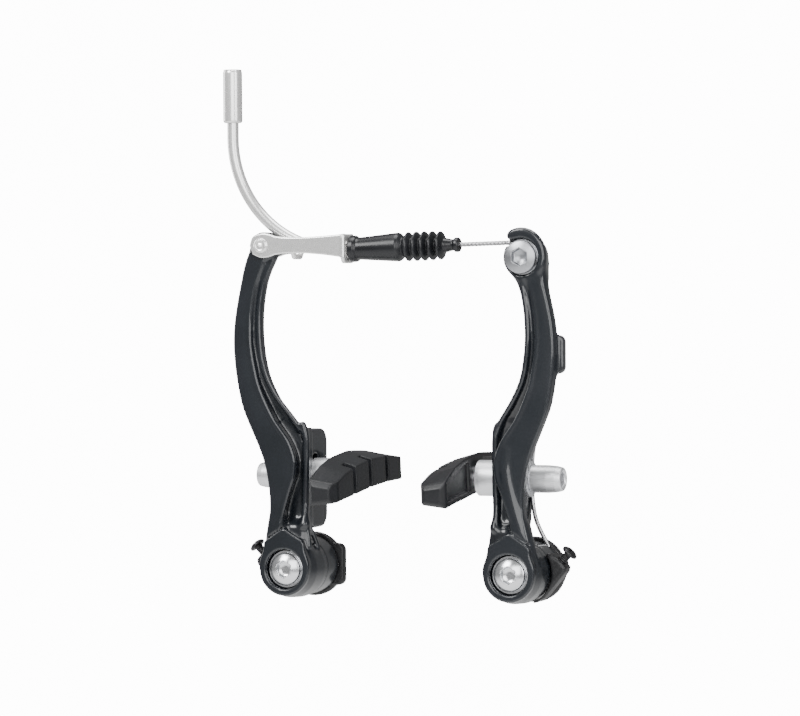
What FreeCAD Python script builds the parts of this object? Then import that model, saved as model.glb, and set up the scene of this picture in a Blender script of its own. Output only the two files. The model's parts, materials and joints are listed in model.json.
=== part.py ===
import FreeCAD, Part
import math
import os

import Sketcher
from FreeCAD import Placement, Rotation, Vector

# Linear-pull rim brake: two cast arms on frame bosses, joined over the wheel by
# a guide tube and a cable. Millimetres. The left arm is at -X and the right arm
# at +X, +Y points towards the frame and +Z up the arms.
# Origin: midway between the two boss axes, on the plane of the boss shoulders.

doc = FreeCAD.newDocument("RimBrakeCaliper")
sheet = doc.addObject("Spreadsheet::Sheet", "Dims")

DIMENSIONS = (
    # pivots and arms
    ("pivot_spacing", 80.0, "distance between the two boss axes"),
    ("arm_depth", 28.0, "boss shoulder to the arm's front facet"),
    ("blade_front", 1.0, "front facet to the blade's front face"),
    ("blade_back", 8.0, "front facet to the blade's back face"),
    ("barrel_radius", 10.2, "pivot barrel"),
    ("barrel_back", 24.2, "front facet to the barrel's back face"),
    ("facet_radius", 9.0, "round front facet over the barrel"),
    ("facet_step", 1.5, "how far the facet stands proud"),
    ("recess_radius", 6.7, "recess for the bolt head"),
    ("recess_depth", 3.55, "recess for the bolt head"),
    ("arm_bore_radius", 5.55, "runs on the pivot bush"),
    ("coil_room_radius", 9.0, "hollow at the back of the barrel"),
    ("coil_room_depth", 7.2, "hollow at the back of the barrel"),
    ("plate_inner", 6.0, "post plate: inner face, inward of the pivot"),
    ("plate_front", 4.0, "post plate: front edge behind the facet"),
    ("plate_width", 21.0, "post plate: width along Y"),
    ("plate_height", 33.0, "post plate: height along Z"),
    ("plate_centre", 30.0, "post plate: centre above the pivot"),
    ("slot_radius", 3.4, "post slot: half its width"),
    ("slot_travel", 8.0, "post slot: distance between its end centres"),
    ("tab_height", 12.7, "spring tab: height"),
    ("tab_bottom", 66.0, "spring tab: bottom above the pivot"),
    ("tab_reach", 18.6, "spring tab: outer face from the pivot"),
    ("tab_thick", 3.0, "spring tab along Y"),
    ("tab_chamfer", 2.0, "spring tab's corners"),
    ("lip_thick", 1.3, "lip that the spring leg leans on"),
    ("lip_margin", 2.4, "lip inside the tab's ends"),
    ("lip_length", 4.0, "lip along Y"),
    ("lip_back", 10.6, "front facet to the lip's back"),
    # pivot hardware
    ("bush_radius", 5.5, "pivot bush: outside"),
    ("bush_bore_radius", 4.1, "pivot bush: slides on the boss"),
    ("bush_length", 24.6, "pivot bush"),
    ("washer_radius", 6.2, "washer under the bolt head"),
    ("washer_thick", 1.0, "washer under the bolt head"),
    ("bolt_radius", 3.0, "M6 shank"),
    ("bolt_length", 18.0, "M6 shank under the head"),
    ("bolt_neck_radius", 2.4, "plain neck under the head"),
    ("bolt_neck_length", 1.2, "plain neck under the head"),
    ("bolt_point_radius", 2.3, "chamfered end of the shank"),
    ("bolt_point_length", 0.8, "chamfered end of the shank"),
    ("washer_play", 0.2, "washer bores round the M6 shanks"),
    ("bolt_head_radius", 5.9, "domed head"),
    ("bolt_head_height", 3.1, "domed head"),
    ("bolt_dome_radius", 9.5, "domed head: sphere"),
    ("hex_key_corner", 2.887, "5 mm socket: radius to its corners"),
    ("hex_key_depth", 2.4, "5 mm socket"),
    # spring holder, spring and tension screw
    ("holder_thick", 1.6, "back plate of the spring holder"),
    ("holder_radius", 9.8, "back plate of the spring holder"),
    ("holder_bore_radius", 5.6, "round the bush"),
    ("holder_reach", 11.5, "inner lug, from the pivot axis"),
    ("holder_lug_height", 14.0, "inner lug"),
    ("holder_clear_radius", 10.6, "outer lug clears the barrel"),
    ("holder_lug_front", 12.5, "front facet to the outer lug's front"),
    ("pin_radius", 1.3, "stop pin"),
    ("pin_length", 5.2, "stop pin, whole"),
    ("pin_offset", 8.4, "stop pin from the pivot axis"),
    ("wire_radius", 0.75, "return spring wire"),
    ("coil_radius", 7.6, "return spring coil, to the wire's centre"),
    ("coil_pitch", 1.75, "return spring coil"),
    ("leg_bend_radius", 5.0, "bends in the spring's leg"),
    ("screw_radius", 1.5, "tension screw shank"),
    ("screw_length", 5.2, "tension screw under the head"),
    ("screw_head_radius", 2.8, "tension screw head"),
    ("screw_head_height", 1.9, "tension screw head"),
    ("screw_bore_radius", 1.56, "hole for the tension screw"),
    ("screw_dome_radius", 4.4, "tension screw head: sphere"),
    ("cross_length", 3.4, "cross slots in the tension screw"),
    ("cross_width", 0.75, "cross slots in the tension screw"),
    ("cross_depth", 1.2, "cross slots in the tension screw"),
    # brake shoes
    ("pad_gap", 29.0, "between the two braking faces"),
    ("pad_length", 62.0, "brake pad"),
    ("pad_height", 12.0, "brake pad"),
    ("pad_thick", 9.6, "brake pad"),
    ("pad_tilt", 6.0, "degrees that the pads tilt on their posts, front end down"),
    ("rim_radius", 300.0, "the pad curves round the rim"),
    ("groove_width", 2.4, "water grooves"),
    ("groove_depth", 3.0, "water grooves"),
    ("groove_spacing", 14.5, "water grooves"),
    ("bevel_depth", 2.4, "bevelled ends of the pad"),
    ("bevel_length", 2.2, "bevelled ends of the pad"),
    ("post_height", 31.0, "post axis above the pivots"),
    ("post_depth", 14.5, "front facet to the post axis"),
    ("post_radius", 3.0, "M6 post"),
    ("post_length", 26.4, "post from the pad's back"),
    ("post_flange_radius", 4.4, "flange against the pad"),
    ("post_flange_thick", 1.2, "flange against the pad"),
    ("cup_radius", 6.0, "domed and dished washers"),
    ("cup_sphere", 9.0, "sphere of the domed washers"),
    ("cup_bore_radius", 3.3, "bore of the washers"),
    ("nut_radius", 4.6, "sleeve nut"),
    ("nut_end_radius", 3.9, "sleeve nut: outer end"),
    ("nut_length", 11.2, "sleeve nut"),
    ("nut_taper", 2.4, "sleeve nut: tapered end"),
    ("nut_thread_depth", 7.2, "sleeve nut on the post"),
    ("dished_rim", 2.4, "outer dished washer at its rim"),
    ("domed_rim", 1.0, "domed washers at their rims"),
    ("dome_rise", 2.4, "domed washers: dome above the rim, before the bore"),
    ("cup_play", 0.05, "between a domed and a dished face"),
    ("nut_bore_radius", 3.05, "sleeve nut on the post"),
    # link, guide tube, boot and cable
    ("link_pivot_x", 47.3, "link rivet from the centre line"),
    ("link_pivot_z", 108.9, "link rivet above the pivots"),
    ("link_plate_thick", 1.3, "link side plates"),
    ("link_room", 6.6, "between the side plates"),
    ("link_front", 0.7, "front facet to the front plate's back"),
    ("link_play", 0.3, "between the side plates and the arm's boss"),
    ("link_end_radius", 4.05, "link round the rivet"),
    ("bridge_radius", 1.1, "pin that joins the side plates"),
    ("link_bracket_x", 17.0, "bracket's outer face from the centre line"),
    ("rivet_radius", 1.9, "link rivet"),
    ("rivet_head_radius", 2.45, "link rivet heads"),
    ("rivet_head_height", 0.8, "link rivet heads"),
    ("rivet_bore_radius", 1.95, "link plates run on the rivet"),
    ("boss_radius", 4.4, "arm's top boss round the rivet"),
    ("tube_radius", 1.95, "guide tube: outside"),
    ("tube_bore_radius", 1.3, "guide tube: inside"),
    ("tube_bend_radius", 38.0, "guide tube bend"),
    ("tube_leg_x", 59.2, "upright leg from the centre line"),
    ("tube_tip_x", 1.2, "guide tube tip from the centre line"),
    ("tube_depth", 4.0, "front facet to the tube and cable axis"),
    ("tube_play", 0.15, "guide tube in the link's bracket"),
    ("collar_radius", 2.9, "stop collar on the guide tube"),
    ("collar_length", 1.2, "stop collar on the guide tube"),
    ("ferrule_radius", 3.25, "ferrule"),
    ("ferrule_bottom", 150.5, "ferrule above the pivots"),
    ("ferrule_length", 18.0, "ferrule"),
    ("ferrule_bore_radius", 2.6, "takes a 5 mm cable housing"),
    ("ferrule_bore_depth", 12.0, "takes a 5 mm cable housing"),
    ("liner_wall", 0.25, "low-friction liner in the guide tube"),
    ("liner_play", 0.02, "between the liner and the guide tube"),
    ("cable_radius", 0.75, "inner cable"),
    ("cable_slope", 1.5, "degrees the cable rises to the anchor"),
    ("anchor_x", 44.8, "anchor bolt from the centre line"),
    ("anchor_z", 104.2, "anchor bolt above the pivots"),
    ("anchor_cable_z", 109.1, "cable above the pivots at the anchor bolt"),
    ("anchor_head_radius", 5.4, "anchor bolt head"),
    ("anchor_head_height", 3.4, "anchor bolt head"),
    ("anchor_dome_radius", 14.0, "anchor bolt head: sphere"),
    ("anchor_washer_radius", 5.75, "cable clamp washer"),
    ("anchor_washer_thick", 1.3, "cable clamp washer"),
    ("anchor_length", 11.0, "anchor bolt shank"),
    ("anchor_boss_radius", 6.6, "arm's top boss round the anchor bolt"),
    ("anchor_boss_back", 9.5, "front facet to the anchor boss's back face"),
    ("hood_radius", 9.4, "hooked hood over the anchor bolt"),
    ("hood_wall", 3.1, "hooked hood over the anchor bolt"),
    ("hood_front", 0.4, "front facet to the hood's front edge"),
    ("hood_start", -112.0, "degrees, where the hood begins"),
    ("hood_sweep", 140.0, "degrees that the hood goes round"),
    ("boot_start_x", 16.3, "boot's lip from the centre line"),
    ("span_start_x", -3.0, "free cable: end inside the guide tube's line"),
    ("span_end_x", 38.4, "free cable: end beside the clamp"),
    ("tail_start_x", 38.6, "clamped cable: start"),
    ("tail_end_x", 46.4, "clamped cable: cut end"),
    ("beyond", 5.0, "how far cutting tools reach past the metal"),
)

for row, (alias, number, note) in enumerate(DIMENSIONS, start=1):
    sheet.set("A%d" % row, alias)
    sheet.set("B%d" % row, str(number))
    sheet.set("C%d" % row, note)
    sheet.setAlias("B%d" % row, alias)
doc.recompute()


def size(alias):
    """The number in one cell of the sheet."""
    return float(sheet.get(alias))


def bind(obj, prop, formula):
    """Bind a property to the sheet: names in the formula are aliases."""
    words = formula.replace("(", " ( ").replace(")", " ) ").split()
    linked = ["Dims." + word if word[0].isalpha() else word for word in words]
    obj.setExpression(prop, " ".join(linked))


# --- places -----------------------------------------------------------------

SIDES = (("left", -1), ("right", 1))
PIVOT_X = size("pivot_spacing") / 2
FACET_Y = -size("arm_depth")
NOWHERE = Placement()


def depth(distance):
    """World Y of a plane that lies a distance behind the front facet."""
    return FACET_Y + distance


def along_y(x, y, z):
    """Local Z points to +Y, towards the frame."""
    return Placement(Vector(x, y, z), Rotation(Vector(1, 0, 0), -90))


def along_x(sign, x, y, z):
    """Local Z points outward, to +X or -X by the sign."""
    return Placement(Vector(x, y, z), Rotation(Vector(0, 1, 0), 90 * sign))


# --- solids -----------------------------------------------------------------

def cylinder(name, radius, height, place):
    solid = doc.addObject("Part::Cylinder", name)
    bind(solid, "Radius", radius)
    bind(solid, "Height", height)
    solid.Placement = place
    return solid


def cone(name, base_radius, top_radius, height, place):
    solid = doc.addObject("Part::Cone", name)
    bind(solid, "Radius1", base_radius)
    bind(solid, "Radius2", top_radius)
    bind(solid, "Height", height)
    solid.Placement = place
    return solid


def sphere(name, radius, place):
    solid = doc.addObject("Part::Sphere", name)
    bind(solid, "Radius", radius)
    solid.Placement = place
    return solid


def hexagon(name, corner, height, place):
    solid = doc.addObject("Part::Prism", name)
    solid.Polygon = 6
    bind(solid, "Circumradius", corner)
    bind(solid, "Height", height)
    solid.Placement = place
    return solid


def cut(name, base, tool):
    result = doc.addObject("Part::Cut", name)
    result.Base = base
    result.Tool = tool
    return result


def fuse(name, *shapes):
    result = doc.addObject("Part::MultiFuse", name)
    result.Shapes = list(shapes)
    return result


def common(name, first, second):
    result = doc.addObject("Part::MultiCommon", name)
    result.Shapes = [first, second]
    return result


def shaped(name, shape):
    """A solid made with Part's own functions, where no feature fits."""
    feature = doc.addObject("Part::Feature", name)
    feature.Shape = shape
    return feature


subparts = []


def publish(obj, node):
    """Name a finished sub-part; its label names its file."""
    obj.Label = node
    subparts.append(obj)
    return obj


# --- sketched bodies --------------------------------------------------------

def new_body(name, place):
    body = doc.addObject("PartDesign::Body", name)
    body.Placement = place
    return body


def new_sketch(body, name, role, offset=0.0):
    """A sketch on one of the body's own origin planes, moved along its normal."""
    sketch = body.newObject("Sketcher::SketchObject", name)
    planes = [f for f in body.Origin.OriginFeatures if f.Role == role]
    sketch.AttachmentSupport = [(planes[0], "")]
    sketch.MapMode = "FlatFace"
    sketch.AttachmentOffset = Placement(Vector(0, 0, offset), Rotation())
    return sketch


def draw_polygon(sketch, points):
    """Closed polygon, each corner held by two dimensions."""
    first = sketch.GeometryCount
    count = len(points)
    for index in range(count):
        start = Vector(points[index][0], points[index][1], 0)
        end_point = points[(index + 1) % count]
        sketch.addGeometry(Part.LineSegment(start, Vector(end_point[0], end_point[1], 0)))
    for index in range(count):
        after = first + (index + 1) % count
        sketch.addConstraint(Sketcher.Constraint("Coincident", first + index, 2, after, 1))
        sketch.addConstraint(Sketcher.Constraint("DistanceX", first + index, 1, points[index][0]))
        sketch.addConstraint(Sketcher.Constraint("DistanceY", first + index, 1, points[index][1]))


def draw_circle(sketch, x, y, radius):
    """Circle with its radius bound to the sheet."""
    index = sketch.addGeometry(Part.Circle(Vector(x, y, 0), Vector(0, 0, 1), size(radius)))
    sketch.addConstraint(Sketcher.Constraint("DistanceX", index, 3, x))
    sketch.addConstraint(Sketcher.Constraint("DistanceY", index, 3, y))
    bound = sketch.addConstraint(Sketcher.Constraint("Radius", index, size(radius)))
    bind(sketch, "Constraints[%d]" % bound, radius)


def draw_obround(sketch, x, low, high, radius):
    """Upright slot outline: two half circles and two straight sides."""
    for centre, start, end in ((high, 0.0, math.pi), (low, math.pi, 2 * math.pi)):
        circle = Part.Circle(Vector(x, centre, 0), Vector(0, 0, 1), radius)
        sketch.addGeometry(Part.ArcOfCircle(circle, start, end))
    for side in (-radius, radius):
        sketch.addGeometry(Part.LineSegment(Vector(x + side, low, 0), Vector(x + side, high, 0)))


def draw_loop(sketch, *edges):
    """Closed outline of straight runs (2 points) and smooth runs (more points)."""
    for points in edges:
        vectors = [Vector(x, y, 0) for x, y in points]
        if len(vectors) == 2:
            sketch.addGeometry(Part.LineSegment(vectors[0], vectors[1]))
        else:
            curve = Part.BSplineCurve()
            curve.interpolate(vectors)
            sketch.addGeometry(curve)


def pad(body, name, sketch, length, backward=False):
    feature = body.newObject("PartDesign::Pad", name)
    feature.Profile = sketch
    bind(feature, "Length", length)
    feature.Reversed = backward
    return feature


def pocket(body, name, sketch, length, backward=False):
    """A pocket, with a check that it removes material."""
    doc.recompute()
    before = body.Shape.Volume
    feature = body.newObject("PartDesign::Pocket", name)
    feature.Profile = sketch
    bind(feature, "Length", length)
    feature.Reversed = backward
    doc.recompute()
    if body.Shape.Volume > before - 0.01:
        raise RuntimeError(name + " cuts nothing")
    return feature


# --- brake arms -------------------------------------------------------------

# Edges of the blade seen from the front: outward from the pivot, up from it.
OUTER_EDGE = ((3.5, 8.0), (4.1, 20.7), (5.3, 33.7), (12.9, 50.7), (17.0, 69.3), (16.7, 88.0))
INNER_EDGE = ((-5.8, 8.0), (-6.4, 24.0), (-6.0, 43.0), (3.4, 59.8), (6.9, 77.9), (4.9, 93.0))
LEFT_TOP = ((11.2, 107.0), (3.6, 104.5))
RIGHT_TOP = ((11.4, 104.0), (0.6, 99.5))
FACET_PEAK = ((-7.6, 4.8), (-6.2, 9.5), (0.4, 13.5), (6.2, 9.5), (7.6, 4.8))
# Where the left blade is cut back behind the link's boss.
TOP_RELIEF = ((-1.0, 101.5), (16.0, 101.5), (16.0, 116.0), (-1.0, 116.0))
# The tab starts inside the blade.
TAB_ROOT = 15.0


def build_arm(side, sign):
    """Cast arm: blade, pivot barrel, slotted post plate, spring tab and top boss."""
    name = side + "_brake_arm"
    body = new_body(name + "_casting", Placement(Vector(sign * PIVOT_X, 0, 0), Rotation()))
    outer_top, inner_top = LEFT_TOP if sign < 0 else RIGHT_TOP
    outer = [(sign * x, z) for x, z in OUTER_EDGE + (outer_top,)]
    inner = [(sign * x, z) for x, z in INNER_EDGE + (inner_top,)]

    outline = new_sketch(body, name + "_outline", "XZ_Plane", -depth(size("blade_back")))
    draw_loop(outline, outer, (outer[-1], inner[-1]), inner, (inner[0], outer[0]))
    pad(body, name + "_blade", outline, "blade_back - blade_front")

    ring = new_sketch(body, name + "_barrel_circle", "XZ_Plane", -depth(size("barrel_back")))
    draw_circle(ring, 0.0, 0.0, "barrel_radius")
    pad(body, name + "_barrel", ring, "barrel_back - facet_step")

    disc = new_sketch(body, name + "_facet_circle", "XZ_Plane", -depth(size("facet_step")))
    draw_circle(disc, 0.0, 0.0, "facet_radius")
    pad(body, name + "_facet", disc, "facet_step")
    peak = new_sketch(body, name + "_peak_outline", "XZ_Plane", -depth(size("facet_step")))
    draw_polygon(peak, [(sign * x, z) for x, z in FACET_PEAK])
    pad(body, name + "_peak", peak, "facet_step")

    plate = new_sketch(body, name + "_plate_outline", "YZ_Plane", 0.0)
    half_width = size("plate_width") / 2
    half_straight = size("plate_height") / 2 - half_width
    plate_y = depth(size("plate_front")) + half_width
    plate_z = size("plate_centre")
    draw_obround(plate, plate_y, plate_z - half_straight, plate_z + half_straight, half_width)
    pad(body, name + "_plate", plate, "plate_inner", backward=sign > 0)

    tab = new_sketch(body, name + "_tab_outline", "XZ_Plane", -depth(size("blade_back")))
    tab_low = size("tab_bottom")
    tab_high = tab_low + size("tab_height")
    reach = size("tab_reach")
    chamfer = size("tab_chamfer")
    tab_corners = ((TAB_ROOT, tab_low), (reach - chamfer, tab_low), (reach, tab_low + chamfer),
                   (reach, tab_high - chamfer), (reach - chamfer, tab_high), (TAB_ROOT, tab_high))
    draw_polygon(tab, [(sign * x, z) for x, z in tab_corners])
    pad(body, name + "_tab", tab, "tab_thick")

    lip = new_sketch(body, name + "_lip_outline", "XZ_Plane", -depth(size("lip_back")))
    lip_in = reach - size("lip_thick")
    lip_low = tab_low + size("lip_margin")
    lip_high = tab_high - size("lip_margin")
    lip_corners = ((lip_in, lip_low), (reach, lip_low), (reach, lip_high), (lip_in, lip_high))
    draw_polygon(lip, [(sign * x, z) for x, z in lip_corners])
    pad(body, name + "_lip", lip, "lip_length")

    if sign < 0:
        boss_x = size("link_pivot_x") - PIVOT_X
        boss_z = size("link_pivot_z")
        boss_back = size("link_front") + size("link_room") - size("link_play")
        boss = new_sketch(body, name + "_boss_circle", "XZ_Plane", -depth(boss_back))
        draw_circle(boss, sign * boss_x, boss_z, "boss_radius")
        pad(body, name + "_boss", boss, "link_room - 2 * link_play")
        relief = new_sketch(body, name + "_relief_outline", "XZ_Plane", -depth(boss_back))
        draw_polygon(relief, [(sign * x, z) for x, z in TOP_RELIEF])
        pocket(body, name + "_relief", relief, "blade_back")
        hole_radius = "rivet_radius"
    else:
        boss_x = size("anchor_x") - PIVOT_X
        boss_z = size("anchor_z")
        seat = size("tube_depth") + size("cable_radius")
        boss = new_sketch(body, name + "_boss_circle", "XZ_Plane", -depth(size("anchor_boss_back")))
        draw_circle(boss, sign * boss_x, boss_z, "anchor_boss_radius")
        pad(body, name + "_boss", boss, "anchor_boss_back - tube_depth - cable_radius")
        seat_floor = new_sketch(body, name + "_seat_circle", "XZ_Plane", -depth(seat))
        draw_circle(seat_floor, sign * boss_x, boss_z, "anchor_boss_radius")
        pocket(body, name + "_seat", seat_floor, "blade_back", backward=True)
        hole_radius = "bolt_radius"

    beyond = size("beyond")
    hole = new_sketch(body, name + "_top_hole", "XZ_Plane", -depth(size("blade_back") + beyond))
    draw_circle(hole, sign * boss_x, boss_z, hole_radius)
    pocket(body, name + "_top_bore", hole, "blade_back + 2 * beyond", backward=True)

    slot = new_sketch(body, name + "_slot_outline", "YZ_Plane", sign * beyond)
    half_travel = size("slot_travel") / 2
    post_z = size("post_height")
    slot_y = depth(size("post_depth"))
    draw_obround(slot, slot_y, post_z - half_travel, post_z + half_travel, size("slot_radius"))
    pocket(body, name + "_slot", slot, "plate_inner + 2 * beyond", backward=sign < 0)

    bore = new_sketch(body, name + "_bore_circle", "XZ_Plane", -depth(0.0))
    draw_circle(bore, 0.0, 0.0, "arm_bore_radius")
    pocket(body, name + "_bore", bore, "barrel_back")
    recess = new_sketch(body, name + "_recess_circle", "XZ_Plane", -depth(0.0))
    draw_circle(recess, 0.0, 0.0, "recess_radius")
    pocket(body, name + "_recess", recess, "recess_depth")
    room = new_sketch(body, name + "_room_circle", "XZ_Plane", -depth(size("barrel_back")))
    draw_circle(room, 0.0, 0.0, "coil_room_radius")
    pocket(body, name + "_room", room, "coil_room_depth", backward=True)
    return body


def add_hood(arm):
    """Hooked hood that curls over the cable anchor bolt, fused to the right arm."""
    x, z = size("anchor_x"), size("anchor_z")
    place = along_y(x, depth(size("hood_front")), z)
    outer = cylinder("hood_outside", "hood_radius", "blade_back", place)
    bind(outer, "Angle", "hood_sweep")
    outer.Placement = place * Placement(Vector(), Rotation(Vector(0, 0, 1), size("hood_start")))
    inner = cylinder("hood_inside", "hood_radius - hood_wall", "blade_back", place)
    return fuse("right_arm_with_hood", arm, cut("hood", outer, inner))


left_arm = publish(build_arm("left", -1), "left_brake_arm")
right_arm = publish(add_hood(build_arm("right", 1)), "right_brake_arm")


# --- pivot hardware ---------------------------------------------------------

def build_bolt(name, x, z, head_back, head, shank_length):
    """Socket bolt along Y: domed head, neck, shank with a chamfered end, hex socket."""
    radius, height, dome = head
    front = head_back - size(height)
    rim = cylinder(name + "_rim", radius, height, along_y(x, front, z))
    ball = sphere(name + "_dome", dome, along_y(x, front + size(dome), z))
    domed = common(name + "_head", rim, ball)
    neck = cylinder(name + "_neck", "bolt_neck_radius", "bolt_neck_length", along_y(x, head_back, z))
    straight = shank_length + " - bolt_neck_length - bolt_point_length"
    shank_y = head_back + size("bolt_neck_length")
    shank = cylinder(name + "_shank", "bolt_radius", straight, along_y(x, shank_y, z))
    point_y = head_back + size(shank_length) - size("bolt_point_length")
    tip = cone(name + "_point", "bolt_radius", "bolt_point_radius", "bolt_point_length",
               along_y(x, point_y, z))
    solid = fuse(name + "_solid", domed, neck, shank, tip)
    socket = hexagon(name + "_socket", "hex_key_corner", "hex_key_depth", along_y(x, front, z))
    return cut(name, solid, socket)


def build_pivot(side, sign):
    """Bush, bolt and washer that hold one arm on its frame boss."""
    x = sign * PIVOT_X
    bush_front = -size("bush_length")
    place = along_y(x, bush_front, 0)
    bush = cut(side + "_bush", cylinder(side + "_bush_outside", "bush_radius", "bush_length", place),
               cylinder(side + "_bush_bore", "bush_bore_radius", "bush_length", place))
    publish(bush, side + "_pivot_bush")

    washer_front = bush_front - size("washer_thick")
    place = along_y(x, washer_front, 0)
    washer = cut(side + "_washer", cylinder(side + "_washer_disc", "washer_radius", "washer_thick", place),
                 cylinder(side + "_washer_bore", "bolt_radius + washer_play", "washer_thick", place))
    publish(washer, side + "_bolt_washer")

    head = ("bolt_head_radius", "bolt_head_height", "bolt_dome_radius")
    bolt = build_bolt(side + "_bolt", x, 0, washer_front, head, "bolt_length")
    publish(bolt, side + "_mounting_bolt")


# Outer lug of the spring holder, seen from the front: outward and up from the pivot.
HOLDER_LUG = ((7.4, 9.2), (10.0, 9.0), (11.5, 6.3), (15.7, 1.9), (15.3, 0.2),
              (8.2, -8.9), (4.2, -10.3), (3.0, -6.0), (5.0, 5.0))
LUG_CORNER = 2.2
# Tension screw: middle of the head's underside, and the way the head points.
SCREW_SEAT = Vector(15.9, 0, 6.35)
SCREW_WAY = Vector(0.68, 0, 0.73)
SCREW_DEPTH = 15.2


def screw_place(sign):
    """Local Z runs out along the tension screw, from the head's underside."""
    way = Vector(sign * SCREW_WAY.x, 0, SCREW_WAY.z)
    point = Vector(sign * (PIVOT_X + SCREW_SEAT.x), depth(SCREW_DEPTH), SCREW_SEAT.z)
    return Placement(point, Rotation(Vector(0, 0, 1), way))


def build_holder(side, sign):
    """Plastic spring holder: back plate, inner stop lug and outer screw lug."""
    name = side + "_holder"
    x = sign * PIVOT_X
    back = -size("holder_thick")
    disc = cylinder(name + "_disc", "holder_radius", "holder_thick", along_y(x, back, 0))

    lugs = new_body(name + "_lugs", Placement(Vector(x, 0, 0), Rotation()))
    inner = new_sketch(lugs, name + "_inner_outline", "XZ_Plane", 0.0)
    reach = size("holder_reach")
    half = size("holder_lug_height") / 2
    corners = ((0.0, -half), (reach - LUG_CORNER, -half), (reach, LUG_CORNER - half),
               (reach, half - LUG_CORNER), (reach - LUG_CORNER, half), (0.0, half))
    draw_polygon(inner, [(-sign * px, pz) for px, pz in corners])
    pad(lugs, name + "_inner_lug", inner, "holder_thick")
    outer = new_sketch(lugs, name + "_outer_outline", "XZ_Plane", 0.0)
    draw_polygon(outer, [(sign * px, pz) for px, pz in HOLDER_LUG])
    pad(lugs, name + "_outer_lug", outer, "arm_depth - holder_lug_front")

    room = cylinder(name + "_barrel_room", "holder_clear_radius", "arm_depth - holder_thick",
                    along_y(x, FACET_Y, 0))
    bore = cylinder(name + "_bore", "holder_bore_radius", "arm_depth", along_y(x, FACET_Y, 0))
    pin_hole = cylinder(name + "_pin_hole", "pin_radius", "pin_length",
                        along_y(x - sign * size("pin_offset"), back, 0))
    below = Placement(Vector(0, 0, -2 * size("screw_length")), Rotation())
    screw_hole = cylinder(name + "_screw_hole", "screw_bore_radius", "2 * screw_length",
                          screw_place(sign) * below)
    tools = fuse(name + "_cuts", room, bore, pin_hole, screw_hole)
    holder = cut(name + "_solid", fuse(name + "_blank", disc, lugs), tools)
    publish(holder, side + "_spring_holder")

    pin = cylinder(side + "_pin", "pin_radius", "pin_length",
                   along_y(x - sign * size("pin_offset"), back, 0))
    publish(pin, side + "_stop_pin")


def build_tension_screw(side, sign):
    """Cross-head screw that presses on the spring through the holder's lug."""
    name = side + "_tension"
    place = screw_place(sign)
    head = cylinder(name + "_head", "screw_head_radius", "screw_head_height", place)
    top = size("screw_head_height")
    ball_centre = Placement(Vector(0, 0, top - size("screw_dome_radius")), Rotation())
    ball = sphere(name + "_dome", "screw_dome_radius", place * ball_centre)
    below = place * Placement(Vector(0, 0, -size("screw_length")), Rotation())
    shank = cylinder(name + "_shank", "screw_radius", "screw_length", below)
    solid = fuse(name + "_solid", common(name + "_domed", head, ball), shank)
    slots = []
    half_length, half_width = size("cross_length") / 2, size("cross_width") / 2
    corner = Placement(Vector(-half_length, -half_width, top - size("cross_depth")), Rotation())
    for turn in (0, 90):
        slot = doc.addObject("Part::Box", name + "_slot_%d" % turn)
        bind(slot, "Length", "cross_length")
        bind(slot, "Width", "cross_width")
        bind(slot, "Height", "cross_depth")
        slot.Placement = place * Placement(Vector(), Rotation(Vector(0, 0, 1), turn)) * corner
        slots.append(slot)
    publish(cut(name, solid, fuse(name + "_cross", *slots)), side + "_tension_screw")


# --- return springs ---------------------------------------------------------

COIL_TURNS = 2.5
COIL_BACK = 25.3
LEG_ANGLE = 20.0
LEG_START = 5.0
# Corners of the spring's leg: outward from the pivot, behind the facet, up.
LEG_CORNERS = ((1.2, 23.2, 19.5), (1.2, 22.3, 39.0), (12.5, 10.2, 59.0), (16.4, 9.3, 69.0),
               (16.4, 9.3, 77.5))


def rounded_path(points, radius):
    """Wire of straight runs joined by tangent arcs of one radius."""
    edges = []
    start = points[0]
    for before, corner, after in zip(points, points[1:], points[2:]):
        back = (before - corner).normalize()
        onward = (after - corner).normalize()
        half_angle = back.getAngle(onward) / 2
        reach = radius / math.tan(half_angle)
        arc_start = corner + back * reach
        arc_end = corner + onward * reach
        middle_way = (back + onward).normalize()
        centre_distance = radius / math.sin(half_angle)
        arc_middle = corner + middle_way * (centre_distance - radius)
        edges.append(Part.LineSegment(start, arc_start).toShape())
        edges.append(Part.Arc(arc_start, arc_middle, arc_end).toShape())
        start = arc_end
    edges.append(Part.LineSegment(start, points[-1]).toShape())
    return Part.Wire(edges)


def tube_along(path, radius):
    """Solid rod of round section along a smooth wire."""
    start = path.OrderedEdges[0]
    origin = start.valueAt(start.FirstParameter)
    way = start.tangentAt(start.FirstParameter)
    section = Part.Wire(Part.makeCircle(radius, origin, way))
    return path.makePipeShell([section], True, True)


def build_spring(sign):
    """Coil round one bush and a long leg up to the spring tab."""
    radius = size("coil_radius")
    height = size("coil_pitch") * COIL_TURNS
    turn = 360 * COIL_TURNS - LEG_ANGLE
    coil = Part.makeLongHelix(size("coil_pitch"), height, radius, 0, sign > 0)
    coil.rotate(Vector(), Vector(0, 0, 1), turn if sign > 0 else 180 - turn)
    coil.Placement = along_y(sign * PIVOT_X, depth(COIL_BACK) - height, 0) * coil.Placement
    last = coil.OrderedEdges[-1]
    end = last.valueAt(last.LastParameter)
    way = last.tangentAt(last.LastParameter)
    corners = [Vector(sign * (PIVOT_X + x), depth(d), z) for x, d, z in LEG_CORNERS]
    leg = rounded_path([end, end + way * LEG_START] + corners, size("leg_bend_radius"))
    return tube_along(Part.Wire(coil.OrderedEdges + leg.OrderedEdges), size("wire_radius"))


for side, sign in SIDES:
    publish(shaped(side + "_spring", build_spring(sign)), side + "_return_spring")


# --- brake shoes ------------------------------------------------------------

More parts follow.
